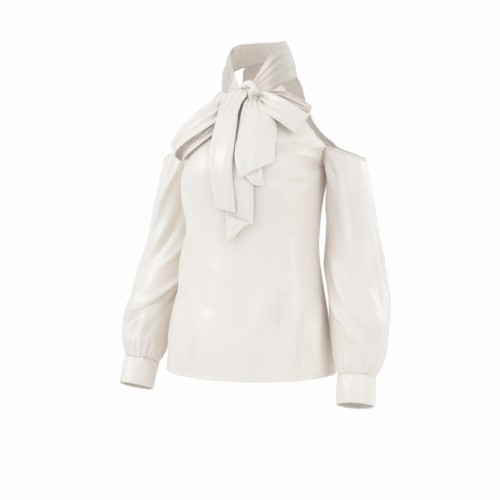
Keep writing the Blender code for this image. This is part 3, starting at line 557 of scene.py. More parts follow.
BINDING = SimpleNamespace(width=0.0042, depth=0.0030, gap=-0.0007, stop=0.004)
STITCH = SimpleNamespace(half_width=0.00019, half_height=0.00017)
INSIDE = 0.98               # a place just inside a piece's edge, for the direction beyond it
MERGE = 0.00001             # points nearer than this become one

# The satin. Its face has floats, slubs across them and long streaks: how closely each varies across and
# along the cloth, 1 being once a thread
THREADS = 2600.0            # a metre
FLOATS = (1.0, 0.09, 1.0)
SLUBS = (0.02, 0.30, 1.0)
STREAKS = (0.26, 0.005, 1.0)
THREAD_RELIEF = 0.35        # strength
THREAD_HEIGHT = 0.0002
CRINKLES = 42.0             # faint handling creases a metre, longer up and down than across
TALL_CRINKLES = (1.0, 1.0, 0.45)
CRINKLE_HEIGHT = 0.0015
TONES = 9.0                 # slow changes of tone a metre

# The lights: name, the setting with its power, size, place and colour
LIGHTS = (
    ("Key", "key_light", 1.4, (-1.8, -1.7, 0.9), (0.84, 0.925, 1.0)),
    ("Fill", "fill_light", 1.7, (2.9, -1.5, 0.3), (0.84, 0.925, 1.0)),
    ("Rim", "rim_light", 2.2, (1.7, 1.9, 1.0), (0.90, 0.95, 1.0)),
)
LIGHT_AIM = (0, -0.05, -0.30)
SKY = (0.90, 0.943, 1.0, 1.0)
FLOOR_COLOUR = (0.92, 0.89, 0.85, 1.0)
CAMERA_SHIFT = (-0.02, -0.12)

# Columns and rows of each piece's grid
GRIDS = {
    "front": (150, 185),
    "back": (130, 185),
    "sleeve_left": (170, 130),
    "sleeve_right": (170, 130),
    "cuff_left": (150, 26),
    "cuff_right": (150, 26),
    "collar": (80, 30),
    "wrap_left": (90, 80),
    "wrap_right": (90, 70),
    "bow_knot": (110, 50),
    "bow_strand": (40, 90),
    "bow_swirl": (80, 12),
    "bow_loop_left": (50, 170),
    "bow_loop_right": (50, 220),
    "bow_tail_right": (50, 140),
    "bow_tail_left": (50, 90),
    "bow_tail_fold": (36, 44),
    "bow_tail_long": (50, 110),
    "bow_tail_end": (36, 36),
    "binding_left": (14, 260),
    "binding_right": (14, 260),
}

# The cut of what shows: width, length and area laid flat, how it is held and what it hangs from.
CUTS = {
    "front": (0.50, 0.60, 0.245, "draped", ("wrap_left", "wrap_right")),
    "back": (0.44, 0.63, 0.205, "draped", ("collar",)),
    "sleeve_left": (0.40, 0.46, 0.150, "gathered", ("front", "back")),
    "sleeve_right": (0.40, 0.46, 0.150, "gathered", ("front", "back")),
    "cuff_left": (0.245, 0.0555, 0.0136, "draped", ("sleeve_left",)),
    "cuff_right": (0.245, 0.0555, 0.0136, "draped", ("sleeve_right",)),
    "collar": (0.155, 0.055, 0.0074, "draped", ()),
    "wrap_left": (0.150, 0.085, 0.0105, "gathered", ("collar",)),
    "wrap_right": (0.170, 0.070, 0.0090, "gathered", ("collar",)),
    "bow_knot": (0.085, 0.042, 0.0032, "gathered", ("wrap_left", "wrap_right")),
    "bow_strand": (0.026, 0.062, 0.0011, "gathered", ("bow_knot",)),
    "bow_swirl": (0.070, 0.012, 0.0007, "gathered", ("bow_knot",)),
    "bow_loop_left": (0.060, 0.260, 0.0130, "gathered", ("bow_knot",)),
    "bow_loop_right": (0.050, 0.420, 0.0195, "gathered", ("bow_knot",)),
    "bow_tail_right": (0.050, 0.260, 0.0128, "hung", ("bow_knot",)),
    "bow_tail_left": (0.082, 0.155, 0.0114, "hung", ("bow_knot",)),
    "bow_tail_fold": (0.042, 0.068, 0.0024, "folded", ("bow_tail_left",)),
    "bow_tail_long": (0.056, 0.195, 0.0097, "hung", ("bow_knot",)),
    "bow_tail_end": (0.050, 0.050, 0.0015, "folded", ("bow_tail_long",)),
    "binding_left": (0.012, 0.50, 0.0030, "folded", ("front", "sleeve_left", "back")),
    "binding_right": (0.012, 0.50, 0.0030, "folded", ("front", "sleeve_right", "back")),
}


# Settings that a user would change


class BLOUSE_PG_cloth(PropertyGroup):
    wall: FloatProperty(name="Cloth thickness", description="Thickness of the single cloth",
                        default=0.0010, min=0.0005, max=0.0015, precision=5, unit="LENGTH")
    band_wall: FloatProperty(name="Band thickness", description="Thickness of the neck band and cuffs",
                             default=0.0016, min=0.001, max=0.002, precision=5, unit="LENGTH")
    fold_depth: FloatProperty(name="Fold depth", description="Depth of the large folds, 1 as worn",
                              default=1.0, min=0.0, max=1.3, subtype="FACTOR")
    crease_depth: FloatProperty(name="Crease depth", description="Depth of the creases, 1 as in the tables",
                                default=1.4, min=0.0, max=2.0, subtype="FACTOR")
    gather_count: IntProperty(name="Gathers", description="Gathers round each cuff seam",
                              default=20, min=8, max=40)
    gather_depth: FloatProperty(name="Gather depth", description="Height of the gathers at the cuff",
                                default=0.0058, min=0.0, max=0.008, precision=5, unit="LENGTH")
    hem_depth: FloatProperty(name="Hem depth", description="Depth of the turned hem",
                             default=0.0078, min=0.004, max=0.03, precision=5, unit="LENGTH")
    stitch_length: FloatProperty(name="Stitch length", description="Length of one stitch",
                                 default=0.0019, min=0.001, max=0.004, precision=5, unit="LENGTH")
    stitch_gap: FloatProperty(name="Stitch gap", description="Gap between two stitches",
                              default=0.0008, min=0.0002, max=0.003, precision=5, unit="LENGTH")


class BLOUSE_PG_colours(PropertyGroup):
    cloth: FloatVectorProperty(name="Satin", description="Colour of the satin in full light",
                               default=(0.918, 0.842, 0.757), min=0, max=1, subtype="COLOR")
    deep: FloatVectorProperty(name="Satin, deep", description="Colour of the satin's darker threads",
                              default=(0.860, 0.770, 0.675), min=0, max=1, subtype="COLOR")
    thread: FloatVectorProperty(name="Thread", description="Colour of the sewing thread",
                                default=(0.800, 0.745, 0.650), min=0, max=1, subtype="COLOR")
    button: FloatVectorProperty(name="Button", description="Colour of the buttons",
                                default=(0.840, 0.780, 0.690), min=0, max=1, subtype="COLOR")
    roughness: FloatProperty(name="Satin roughness", description="Roughness of the satin's face",
                             default=0.35, min=0.2, max=0.8, subtype="FACTOR")
    thinness: FloatProperty(name="Thinness", description="Share of the light that goes into the cloth",
                            default=0.12, min=0.0, max=1.0, subtype="FACTOR")
    sheen: FloatProperty(name="Sheen", description="Soft light along the satin's edges",
                         default=0.15, min=0.0, max=1.0, subtype="FACTOR")


class BLOUSE_PG_stage(PropertyGroup):
    camera_turn: FloatProperty(name="Camera turn", description="Turn of the camera round the figure",
                               default=math.radians(23), subtype="ANGLE")
    camera_distance: FloatProperty(name="Camera distance", description="Distance from the neck's axis",
                                   default=2.4, min=1.0, max=5.0, unit="LENGTH")
    camera_height: FloatProperty(name="Camera height", description="Height of the camera",
                                 default=-0.24, unit="LENGTH")
    lens: FloatProperty(name="Lens", description="Focal length on a 36 mm sensor, in millimetres",
                        default=84.3, min=20, max=200)
    key_light: FloatProperty(name="Key light", description="Power of the key light, in watts",
                             default=21.0, min=0.0, max=200.0)
    fill_light: FloatProperty(name="Fill light", description="Power of the fill light, in watts",
                              default=19.0, min=0.0, max=200.0)
    rim_light: FloatProperty(name="Rim light", description="Power of the light behind, in watts",
                             default=15.0, min=0.0, max=200.0)
    floor_depth: FloatProperty(name="Floor", description="Distance of the floor below the neck",
                               default=1.40, min=0.8, max=3.0, unit="LENGTH")
    floor_radius: FloatProperty(name="Floor radius", description="Half the width of the floor",
                                default=1.20, min=0.5, max=10.0, unit="LENGTH")
    daylight: FloatProperty(name="Surround", description="Strength of the light from all round",
                            default=0.83, min=0.0, max=2.0)
    paper: FloatProperty(name="Paper", description="Brightness of the paper behind the figure",
                         default=0.985, min=0.0, max=1.0, subtype="FACTOR")


# Numbers and vectors, a value for each point


def ease(t):
    """0 to 1 with level ends."""
    t = np.clip(t, 0.0, 1.0)
    return t * t * (3 - 2 * t)


def hump(distance):
    """1 in the middle of a fold and 0 well away from it."""
    return np.exp(-distance ** 2)


def stack(x, y, z):
    """Points or directions from their three parts."""
    return np.stack(np.broadcast_arrays(x, y, z), axis=-1).astype(float)


def times(vectors, values):
    """Each vector times its own value."""
    return vectors * np.asarray(values)[..., None]


def dot(a, b):
    return np.sum(a * b, axis=-1)


def unit(vectors):
    return vectors / np.linalg.norm(vectors, axis=-1, keepdims=True)


def larger(a, b, softness):
    """The larger of two values, with a soft change from one to the other."""
    return (a + b + np.sqrt((a - b) ** 2 + softness ** 2)) / 2


def scatter(index, salt):
    """An uneven value between 0 and 1 for an index, the same on every run."""
    value = np.sin(np.asarray(index) * 12.9898 + salt * 78.233) * 43758.5453
    return value - np.floor(value)


def run_folds(folds, x, z):
    """Height of a set of folds at places on a panel."""
    total = np.zeros(np.broadcast(x, z).shape)
    for fold in folds.each():
        run = np.array((fold.x1 - fold.x0, fold.z1 - fold.z0))
        length = np.hypot(*run)
        along = ((x - fold.x0) * run[0] + (z - fold.z0) * run[1]) / length ** 2
        near = np.clip(along, 0, 1)
        aside = ((x - fold.x0) * run[1] - (z - fold.z0) * run[0]) / length
        aside = aside - fold.bow * np.sin(math.pi * near)
        beyond = (along - near) * length
        strength = fold.out * (0.4 + 0.6 * np.sin(math.pi * near))
        total += strength * hump(np.hypot(aside, beyond) / fold.width)
    return total


# Front and back


def armhole(height, join):
    """x and y of a panel's armhole edge at a height, a seam away from the top edge of the sleeve."""
    angles = np.linspace(0, join, 33)
    angle = np.interp(height, CAP.at(angles).height, angles)
    reach = CAP.at(angle).reach + (SOLID_WALL + SEAM)
    turn = np.radians(angle)
    center = ARM.at(0)
    return center.x - reach * np.cos(turn), center.y - reach * np.sin(turn)


def panel_edge(join, halter, height):
    """x and y of a panel's left edge: side seam, armhole, then the free edge."""
    body = BODY.at(height)
    top = halter.keys[0]
    seam_x, seam_y = armhole(np.clip(height, UNDERARM, top), join)
    free = halter.at(height)
    mix = ease((height - top) / EDGE_BLEND)
    x = seam_x + (free.x - seam_x) * mix
    y = seam_y + (free.y - seam_y) * mix
    below = height <= UNDERARM
    return np.where(below, body.half_width, x), np.where(below, body.side_y, y)


def soft_edge(panel, height):
    """The panel's edge without the corners it has at the underarm and at the top of the sleeve."""
    steps = np.array((-0.018, -0.012, -0.006, 0.0, 0.006, 0.012, 0.018))
    top = panel.halter.keys[-1]
    places = [panel_edge(panel.join, panel.halter, np.clip(height + step, HEM, top)) for step in steps]
    return np.mean([x for x, _ in places], axis=0), np.mean([y for _, y in places], axis=0)


def panel_arc(panel, height, s):
    """Points of a panel's plain rows; s runs from -1 to 1 across them."""
    row = panel.shape.at(height)
    edge_x, edge_y = panel_edge(panel.join, panel.halter, height)
    soft_x, soft_y = soft_edge(panel, height)
    free = ease((height - HEM) / SOFT_FROM) * ease((panel.halter.keys[-1] - height) / SOFT_FROM)
    inner = (1 - np.abs(s) ** 5) * free
    edge_x = edge_x + (soft_x - edge_x) * inner
    edge_y = edge_y + (soft_y - edge_y) * inner
    arc = np.radians(row.arc)
    rise = (np.cos(arc * s) - np.cos(arc)) / (1 - np.cos(arc))
    side_y = edge_y + panel.facing * SEAM
    return stack(edge_x * np.sin(arc * s) / np.sin(arc), side_y + (row.middle_y - side_y) * rise,
                 height - row.drop * rise)


def neck_shift(panel, s):
    """How far the top of a panel moves to run just under the neck band."""
    angle = panel.neck_angle * s
    if panel.facing > 0:
        left = band_point(LEFT_BAND, 180 - np.abs(angle), 0, 1)
        right = band_point(RIGHT_BAND, 180 - np.abs(angle), 0, -1)
        target = np.where((s > 0)[..., None], left, right)
    else:
        left = band_point(LEFT_BAND, angle, 0, 1)
        right = band_point(RIGHT_BAND, -angle, 0, -1)
        target = np.where((angle > LEFT_BAND.keys[0])[..., None], left, right)
    target = target - np.array((0, 0, panel.neck_gap))
    return target - panel_arc(panel, np.full(s.shape, panel.halter.keys[-1]), s)


def panel_point(panel, height, s, cloth=None):
    """Points of the front or the back with their folds, and with the creases of a given cloth."""
    height, s = np.broadcast_arrays(np.asarray(height, dtype=float), np.asarray(s, dtype=float))
    top = panel.halter.keys[-1]
    blend = ease((height - panel.blend_from) / (top - panel.blend_from))
    point = panel_arc(panel, height, s) + times(neck_shift(panel, s), blend)
    turn = np.radians(panel.shape.at(height).arc) * s
    outward = stack(np.sin(turn), panel.facing * np.cos(turn), 0)
    x, z = point[..., 0], point[..., 2]
    depth = cloth.fold_depth if cloth else 1.0
    fullness = run_folds(panel.folds, x, z) * depth
    if panel.facing < 0:
        for side in (-1, 1):
            away = np.hypot(x - side * BUST.x, z - BUST.height)
            fullness += BUST.out * hump(away / BUST.spread)
    fullness *= (1 - s ** 4) ** 2 * (1 - blend)
    if cloth:
        fullness += panel_creases(panel, x, z, s, height, cloth) * (1 - blend)
    return point + times(outward, fullness)


def panel_creases(panel, x, z, s, height, cloth):
    """Creases, the faint unevenness of hanging satin, the seam's dip and the turned hem."""
    creases = run_folds(panel.creases, x, z) * cloth.crease_depth
    slow = (np.sin(61 * x + 17 * z + 1.3 * np.sin(23 * z)) + np.sin(37 * x - 29 * z + 2.1)
            + 0.7 * np.sin(103 * x + 21 * z + 0.6) * np.sin(19 * z))
    creases += RELIEF.slow * slow * cloth.crease_depth
    creases *= 1 - np.abs(s) ** 14
    edge_x, _ = panel_edge(panel.join, panel.halter, height)
    from_edge = (1 - np.abs(s)) * edge_x * 1.5
    creases -= RELIEF.seam_dip * hump(from_edge / RELIEF.seam_width)
    above = height - HEM - cloth.hem_depth
    turned = 1 - ease(above / 0.0012)
    stitched = hump(above / RELIEF.groove_width)
    pull = hump(above / RELIEF.pucker_width)
    pucker = np.sin(x * 520 + 2.0 * np.sin(x * 57)) * (0.5 + 0.5 * np.sin(x * 83 + 1))
    return (creases + RELIEF.hem_step * turned - RELIEF.groove * stitched
            + RELIEF.pucker * pucker * pull)


FRONT_PANEL = SimpleNamespace(shape=FRONT, halter=FRONT_EDGE, join=FRONT_JOIN, folds=FRONT_FOLDS,
                              creases=FRONT_CREASES, facing=-1, neck_angle=55, neck_gap=0.0004,
                              blend_from=-0.100)
BACK_PANEL = SimpleNamespace(shape=BACK, halter=BACK_EDGE, join=BACK_JOIN, folds=BACK_FOLDS,
                             creases=BACK_CREASES, facing=1, neck_angle=50, neck_gap=NECK_GAP,
                             blend_from=-0.060)


def panel_height(panel, t, cloth):
    """Height of a row: rows are close together at the hem, where the cloth is turned."""
    top = panel.halter.keys[-1]
    hem_top = HEM + cloth.hem_depth * 1.4
    return np.interp(t, (0, HEM_ROWS, 1), (HEM, hem_top, top))


def front_at(x, z):
    """The front's surface behind places: row and column are moved until the point is there."""
    guess_x, guess_z = x, z
    for _ in range(8):
        row = FRONT.at(guess_z)
        edge_x, _ = panel_edge(FRONT_JOIN, FRONT_EDGE, guess_z)
        arc = np.radians(row.arc)
        sine = np.clip(guess_x * np.sin(arc) / edge_x, -np.sin(arc), np.sin(arc))
        point = panel_point(FRONT_PANEL, guess_z, np.arcsin(sine) / arc)
        guess_x = guess_x + x - point[..., 0]
        guess_z = np.minimum(guess_z + z - point[..., 2], FRONT_EDGE.keys[-1])
    return stack(x, point[..., 1], z)


def in_front(place, clear):
    """Places, moved forward where they must be to lie `clear` of the front."""
    step = 0.004
    x, z = place[..., 0], place[..., 2]
    here = front_at(x, z)[..., 1]
    slope = (front_at(x + step, z)[..., 1] - here) / step
    limit = here - clear * np.hypot(1, slope)
    return stack(x, -larger(-place[..., 1], -limit, 0.0015), z)


# Sleeves and cuffs


def arm_frame(along, side):
    """Middle of the sleeve, with the directions along it, to the body and to the front."""
    row = ARM.at(along)
    lift = RIGHT_LIFT * along ** 2 if side < 0 else 0.0
    center = stack(side * row.x, row.y, row.z + lift)
    lean = ease((along - ELBOW) / (1 - ELBOW))
    down = np.array((0, 0, -1.0))
    reach = unit(ARM_LEAN * (side, 1, 1))
    axis = unit(down + times(np.broadcast_to(reach - down, center.shape), lean))
    inner = np.broadcast_to(np.array((-side, 0, 0.0)), center.shape)
    inner = unit(inner - times(axis, dot(inner, axis)))
    front = np.broadcast_to(np.array((0, -1.0, 0)), center.shape)
    front = unit(front - times(axis, dot(front, axis)) - times(inner, dot(front, inner)))
    return center, axis, inner, front


def sleeve_folds(folds, angle, along):
    """Height of a set of folds at places on a sleeve."""
    radius = ARM.at(along).radius
    total = np.zeros(angle.shape)
    for fold in folds.each():
        t = np.clip((along - fold.along0) / (fold.along1 - fold.along0), 0, 1)
        middle = fold.angle0 + (fold.angle1 - fold.angle0) * t + fold.bow * np.sin(math.pi * t)
        away = np.radians((angle - middle + 180) % 360 - 180) * radius
        total += fold.out * hump(away / fold.width) * np.sin(math.pi * t)
    return total


def sleeve_gathers(angle, along, side, cloth):
    """Uneven gathers that spread up from the cuff seam and fade at different lengths."""
    radius = ARM.at(along).radius
    below = 1 - along
    total = np.zeros(angle.shape)
    for index in range(cloth.gather_count):
        middle = 360 / cloth.gather_count * (index + 0.5 * scatter(index, side))
        length = GATHERS.shortest + (GATHERS.longest - GATHERS.shortest) * scatter(index, side + 3) ** 2
        share = GATHERS.lowest + (1 - GATHERS.lowest) * scatter(index, side + 5)
        lean = GATHERS.lean * (scatter(index, side + 7) - 0.5)
        rise = np.clip(below / length, 0, 1)
        away = np.radians((angle - middle - lean * rise + 180) % 360 - 180) * radius
        width = GATHERS.width + GATHERS.spread * rise * length / GATHERS.longest
        fade = (1 - ease((rise - 0.35) / 0.65)) * (GATHERS.tuck + (1 - GATHERS.tuck) * ease(rise / 0.2))
        total += cloth.gather_depth * share * hump(away / width) * fade
    total -= GATHERS.draw_in * cloth.gather_depth * (1 - ease(below / GATHERS.longest))
    return total * (1 - 0.8 * sewn_in(along))


def sewn_in(along):
    """How far into the cuff the end of the sleeve is, from 0 to 1."""
    return ease((along - 0.988) / 0.012)


def body_half_width(y, z):
    """Half width of the body at a depth and height, for what hangs beside it."""
    edge_x, edge_y = panel_edge(FRONT_JOIN, FRONT_EDGE, z)
    front, back = FRONT.at(z), BACK.at(z)
    ahead = y < edge_y
    arc = np.radians(np.where(ahead, front.arc, back.arc))
    middle_y = np.where(ahead, front.middle_y, back.middle_y)
    rise = np.clip((y - edge_y) / (middle_y - edge_y), 0, 1)
    turn = np.arccos(np.clip(np.cos(arc) + rise * (1 - np.cos(arc)), -1, 1))
    return edge_x * np.sin(turn) / np.sin(arc)


def sleeve_point(angle, along, side, cloth=None):
    """Points of a sleeve, with its creases and gathers where a cloth is given."""
    angle, along = np.broadcast_arrays(np.asarray(angle, dtype=float), np.asarray(along, dtype=float))
    center, axis, inner, front = arm_frame(along, side)
    cap = CAP.at(np.where(angle <= CAP.keys[-1], angle, angle - 360))
    mix = ease(along / 0.25)
    radius = cap.reach * (1 - mix) + ARM.at(along).radius * mix
    depth = cloth.fold_depth if cloth else 1.0
    radius = radius + depth * sleeve_folds(LEFT_SLEEVE_FOLDS if side > 0 else RIGHT_SLEEVE_FOLDS,
                                           angle, along)
    turn = np.radians(angle)
    if cloth:
        creases = LEFT_SLEEVE_CREASES if side > 0 else RIGHT_SLEEVE_CREASES
        radius = radius + cloth.crease_depth * sleeve_folds(creases, angle, along)
        radius = radius + sleeve_gathers(angle, along, side, cloth)
        slow = np.sin(3 * turn + 23 * along + side) + np.sin(5 * turn - 17 * along + 2 * side)
        radius = radius + SLEEVE_RELIEF.slow * cloth.crease_depth * slow * ease(along / 0.1)
        radius = radius - SLEEVE_RELIEF.sewn_under * sewn_in(along)
    point = center + times(inner, radius * np.cos(turn)) + times(front, radius * np.sin(turn))
    point = point + times(axis, SLEEVE_RELIEF.sewn_down * sewn_in(along))
    point[..., 2] += (cap.height - ARM.at(0).z) * np.maximum(1 - along / ELBOW, 0) ** 2
    x, y, z = np.moveaxis(point, -1, 0)
    clear = body_half_width(y, z) + SLEEVE_CLEAR
    beside = (along > 0) & (along < BESIDE.down_to) & (y > BESIDE.front) & (y < BESIDE.back)
    point[..., 0] = side * np.where(beside, larger(side * x, clear, 0.005), side * x)
    return point


def cuff_point(down, angle, side, out=0.0):
    """Points of a cuff, `down` below the cuff seam along the arm and `angle` round it."""
    down, angle = np.broadcast_arrays(np.asarray(down, dtype=float), np.asarray(angle, dtype=float))
    center, axis, inner, front = arm_frame(np.ones(down.shape), side)
    turn = np.radians(CUFF.start + angle)
    radius = CUFF.radius + out + CUFF.step * ease((angle - 345) / 20)
    return (center + times(axis, down) + times(inner, radius * np.cos(turn))
            + times(front, radius * np.sin(turn)))


def cuff_relief(down, angle, cloth):
    """The cuff's soft unevenness: a slight swell, pulls from the gathers and pressed edges."""
    turn = np.radians(angle)
    swell = CUFF_RELIEF.swell * np.sin(math.pi * down / CUFF.height)
    pulls = CUFF_RELIEF.pulls * np.sin(19 * turn + 2 * np.sin(5 * turn))
    pulls *= 1 - ease(down / CUFF_RELIEF.pull_length)
    wander = CUFF_RELIEF.slow * np.sin(4 * turn + 60 * down)
    wander += CUFF_RELIEF.fine * np.sin(9 * turn - 90 * down)
    edge = np.minimum(down, CUFF.height - down)
    stitched = CUFF_RELIEF.groove * hump((edge - CUFF.stitched) / 0.0010)
    return (swell + pulls + wander) * cloth.crease_depth - stitched


# Neck band and bow


def band_point(table, angle, up, side, ripple=0.0):
    """Points of the neck band: `angle` from the front, `up` from its seam (0) to its top (1)."""
    row = table.at(angle)
    up = np.asarray(up, dtype=float)
    radius = row.low_radius + (row.high_radius - row.low_radius) * up
    radius = radius + BAND_BULGE * np.sin(math.pi * up) + ripple
    turn = np.radians(angle)
    return stack(side * radius * np.sin(turn), -radius * np.cos(turn), row.low + (row.high - row.low) * up)


def wrap_surface(table, folds, side, cloth):
    """The band from the collar round to the knot, with the folds that its gathering makes."""
    last = 180 - COLLAR_HALF_ANGLE
    first = table.keys[0]

    def surface(s, t):
        angle = first + (last - first) * s
        row = table.at(angle)
        breadth = (row.high - row.low) / 0.06
        near = ease((BAND_GATHER.rises_at - angle) / BAND_GATHER.rises_over)
        near = BAND_GATHER.least + (1 - BAND_GATHER.least) * near
        near *= ease((last - angle) / BAND_GATHER.start_over)
        ripple = np.zeros(s.shape)
        for fold in folds.each():
            middle = fold.at_knot + (fold.at_collar - fold.at_knot) * s
            ripple += fold.out * hump((t - middle) / fold.width)
        ripple += BAND_UNEVEN * np.sin(31 * t + 7 * s) * np.sin(9 * s + 1)
        ripple *= near * breadth * cloth.crease_depth
        return band_point(table, angle, t, side, ripple)
    return surface


def collar_surface(s, t):
    """The band's stretch that stands at the back of the neck."""
    turn = COLLAR_HALF_ANGLE * (2 * s - 1)
    left = band_point(LEFT_BAND, 180 - np.abs(turn), t, 1)
    right = band_point(RIGHT_BAND, 180 - np.abs(turn), t, -1)
    point = np.where((turn > 0)[..., None], left, right)
    outward = unit(stack(point[..., 0], point[..., 1], 0))
    pulls = COLLAR_RELIEF.pulls * np.sin(17 * s + 3 * t) * np.sin(5 * t + 4 * s)
    return point + times(outward, pulls - COLLAR_RELIEF.seam_dip * hump((t - 0.06) / 0.02))


def knot_surface(s, t):
    """A gathered strip wound round the meeting of the band's two ends."""
    turn = math.radians(KNOT.start) + 2 * math.pi * KNOT.turns * s
    level = math.pi * (KNOT.open_ends + (1 - 2 * KNOT.open_ends) * t)
    ring = np.sin(level) ** 0.75
    fold = np.cos(2 * math.pi * KNOT.folds * (t + 0.10 * np.sin(turn)))
    grow = KNOT.overlap * (s - 0.5) + KNOT.fold_depth * fold * (0.5 + 0.5 * ring)
    x = (KNOT.half[0] + grow) * ring * np.cos(turn)
    y = (KNOT.half[1] + grow) * ring * np.sin(turn)
    z = KNOT.half[2] * np.cos(level) - KNOT.lean * x
    return KNOT.center + stack(x, y, z)


def strip_run(table, along, step):
    """A strip's sizes at places, its middle there, and the direction in which it runs."""
    row = table.at(along)
    ahead, behind = table.at(np.minimum(along + step, 1)), table.at(np.maximum(along - step, 0))
    run = unit(stack(ahead.x - behind.x, ahead.y - behind.y, ahead.z - behind.z))
    return row, stack(row.x, row.y, row.z), run


def strand_surface(s, t):
    """The pleated strand that comes over the top of the knot and down its front."""
    row, center, run = strip_run(STRAND, t, 0.03)
    out = np.broadcast_to(np.array((0.15, -1.0, 0.25)), center.shape)
    out = unit(out - times(run, dot(out, run)))
    across = np.cross(run, out)
    turn = 2 * math.pi * s
    pleat = 1 + 0.17 * np.cos(STRAND_PLEATS * turn + 4.0 * t) + 0.07 * np.cos(7 * turn - 6.0 * t)
    return (center + times(across, row.half * pleat * np.cos(turn))
            + times(out, row.thick * pleat * np.sin(turn)))


def swirl_surface(s, t):
    """The small curl of cloth beside the knot: a leaf shape with its point at the knot."""
    turn = math.radians(SWIRL.start) - 2 * math.pi * SWIRL.turns * s
    size = 1 - (1 - SWIRL.inner) * s
    flare = 1 + 0.18 * (1 - t)
    x = SWIRL.half[0] * size * flare * np.cos(turn)
    z = SWIRL.half[1] * size * flare * np.sin(turn) * (0.74 + 0.26 * np.cos(turn)) - SWIRL.lean * x
    y = SWIRL.depth * (t - 0.5) + SWIRL.inward * s
    return SWIRL.center + stack(x, y, z)


def loop_surface(table, cloth):
    """A strip that runs out from the knot, turns over and comes back behind itself."""
    def surface(s, t):
        angle = math.pi * np.clip((t - OUT_TO) / (BACK_FROM - OUT_TO), 0, 1)
        along = np.where(t < 0.5, np.minimum(t / OUT_TO, 1), np.minimum((1 - t) / (1 - BACK_FROM), 1))
        layer, beyond = np.cos(angle), np.sin(angle)
        row, center, run = strip_run(table, along, 0.05)
        across = stack(-run[..., 2], 0, run[..., 0]) * np.sign(table.values[-1, 1] - table.values[0, 1])
        across = unit(across - times(run, dot(across, run)))
        out = np.cross(run, across)
        out = times(out, -np.sign(out[..., 1]))
        v = 2 * s - 1
        behind_part = (1 - layer) / 2
        crease = LOOP_WAVE * np.cos(2.5 * math.pi * v) * ease(1 - along) * ease(along * 4)
        for fold in LOOP_CREASES.each():
            middle = fold.start + (fold.end - fold.start) * along
            strength = ease(along * 6) * (1 - ease(along / fold.reach))
            crease += cloth.crease_depth * fold.out * hump((v - middle) / fold.width) * strength
        under = np.cos(2 * math.pi * LOOP_GATHERS * v + 2.0 * v * v)
        under *= ease(along * 3) * ease(2.2 - 2 * along)
        crease += LOOP_GATHER_DEPTH * cloth.crease_depth * behind_part * under
        roll = -LOOP_ROLL * np.abs(v) ** 6
        half = row.width / 2 * (1 + (row.back - 1) * behind_part)
        lip = row.lip * behind_part * ease((0.30 - v) / 0.65)
        place = center + times(across, v * half + row.skew * behind_part + lip * 0.10)
        place = place + times(out, layer * (row.gap / 2 + crease + roll) + lip)
        place = place + times(run, beyond * row.gap / 2 * (1 - 0.25 * v * v))
        return in_front(place, LOOP_CLEAR + (layer + 1) * row.gap / 3)
    return surface


def tail_surface(table, ripples, cloth, from_knot, tuck):
    """A hanging stretch of the tie: places on the front, moved out, with soft lengthwise folds."""
    def surface(s, t):
        row = table.at(t)
        x = row.x_left + (row.x_right - row.x_left) * s
        z = row.z_left + (row.z_right - row.z_left) * s
        ripple = TAIL_RELIEF.ripple * np.cos(2 * math.pi * ripples * s)
        uneven = TAIL_RELIEF.uneven * cloth.crease_depth
        ripple += uneven * np.sin(19 * s + 6 * t) * np.sin(7 * t + 2 * s + 1)
        ripple -= TAIL_RELIEF.roll * (hump(s / 0.05) + hump((1 - s) / 0.05))
        if from_knot:
            pinch = TAIL_RELIEF.pleat * cloth.crease_depth * (1 - ease(t / 0.45))
            ripple += pinch * np.cos(2 * math.pi * (TAIL_RELIEF.pleats * s + 0.3 * t))
        ripple -= tuck * (1 - ease(s / 0.45)) * ease((t - 0.12) / 0.25) * (1 - ease((t - 0.45) / 0.3))
        return front_at(x, z) + stack(0, -row.out - ripple, 0)
    return surface


# Bindings and stitches


def binding_path(side, cloth):
    """Edge points with the direction beyond the edge: front halter edge, sleeve top, back edge."""
    front_z = np.linspace(FRONT_EDGE.keys[-1] - BINDING.stop, FRONT_EDGE.keys[0], 50)
    angles = np.linspace(FRONT_JOIN, 360 + BACK_JOIN, 90)[1:-1]
    back_z = np.linspace(BACK_EDGE.keys[0], BACK_EDGE.keys[-1] - BINDING.stop, 60)

    def stretches(across, along):
        return np.concatenate((panel_point(FRONT_PANEL, front_z, side * across, cloth),
                               sleeve_point(angles, along, side, cloth),
                               panel_point(BACK_PANEL, back_z, side * across, cloth)))
    edge = stretches(1, 0.0)
    beyond = unit(edge - stretches(INSIDE, 1 - INSIDE))
    for _ in range(6):
        edge[1:-1] = (edge[:-2] + 2 * edge[1:-1] + edge[2:]) / 4
        beyond[1:-1] = unit(beyond[:-2] + 2 * beyond[1:-1] + beyond[2:])
    return edge, beyond


def path_frame(path, beyond):
    """Directions along a path, beyond the edge and out of the cloth."""
    run = unit(np.gradient(path, axis=0))
    wide = unit(beyond - times(run, dot(beyond, run)))
    return wide, np.cross(run, wide)


def binding_surface(side, cloth):
    """The rolled strip just beyond the cloth's edge, a little uneven along its length."""
    path, beyond = binding_path(side, cloth)
    wide, deep = path_frame(path, beyond)
    count = len(path) - 1

    def surface(s, t):
        place = t * count
        low = np.minimum(np.floor(place).astype(int), count - 1)
        rest = place - low
        center = path[low] + times(path[low + 1] - path[low], rest)
        side_on = unit(wide[low] + times(wide[low + 1] - wide[low], rest))
        out = unit(deep[low] + times(deep[low + 1] - deep[low], rest))
        turn = 2 * math.pi * s
        swell = 1 + 0.05 * np.sin(place * 0.9) + 0.04 * np.sin(place * 2.3 + turn)
        close = 1 - 0.55 * (hump(t / 0.004) + hump((1 - t) / 0.004))
        offset = times(side_on, np.cos(turn) * BINDING.width) + times(out, np.sin(turn) * BINDING.depth)
        return (center + times(side_on, np.full(t.shape, BINDING.width / 2 + BINDING.gap))
                + times(offset, swell * close / 2))
    return surface


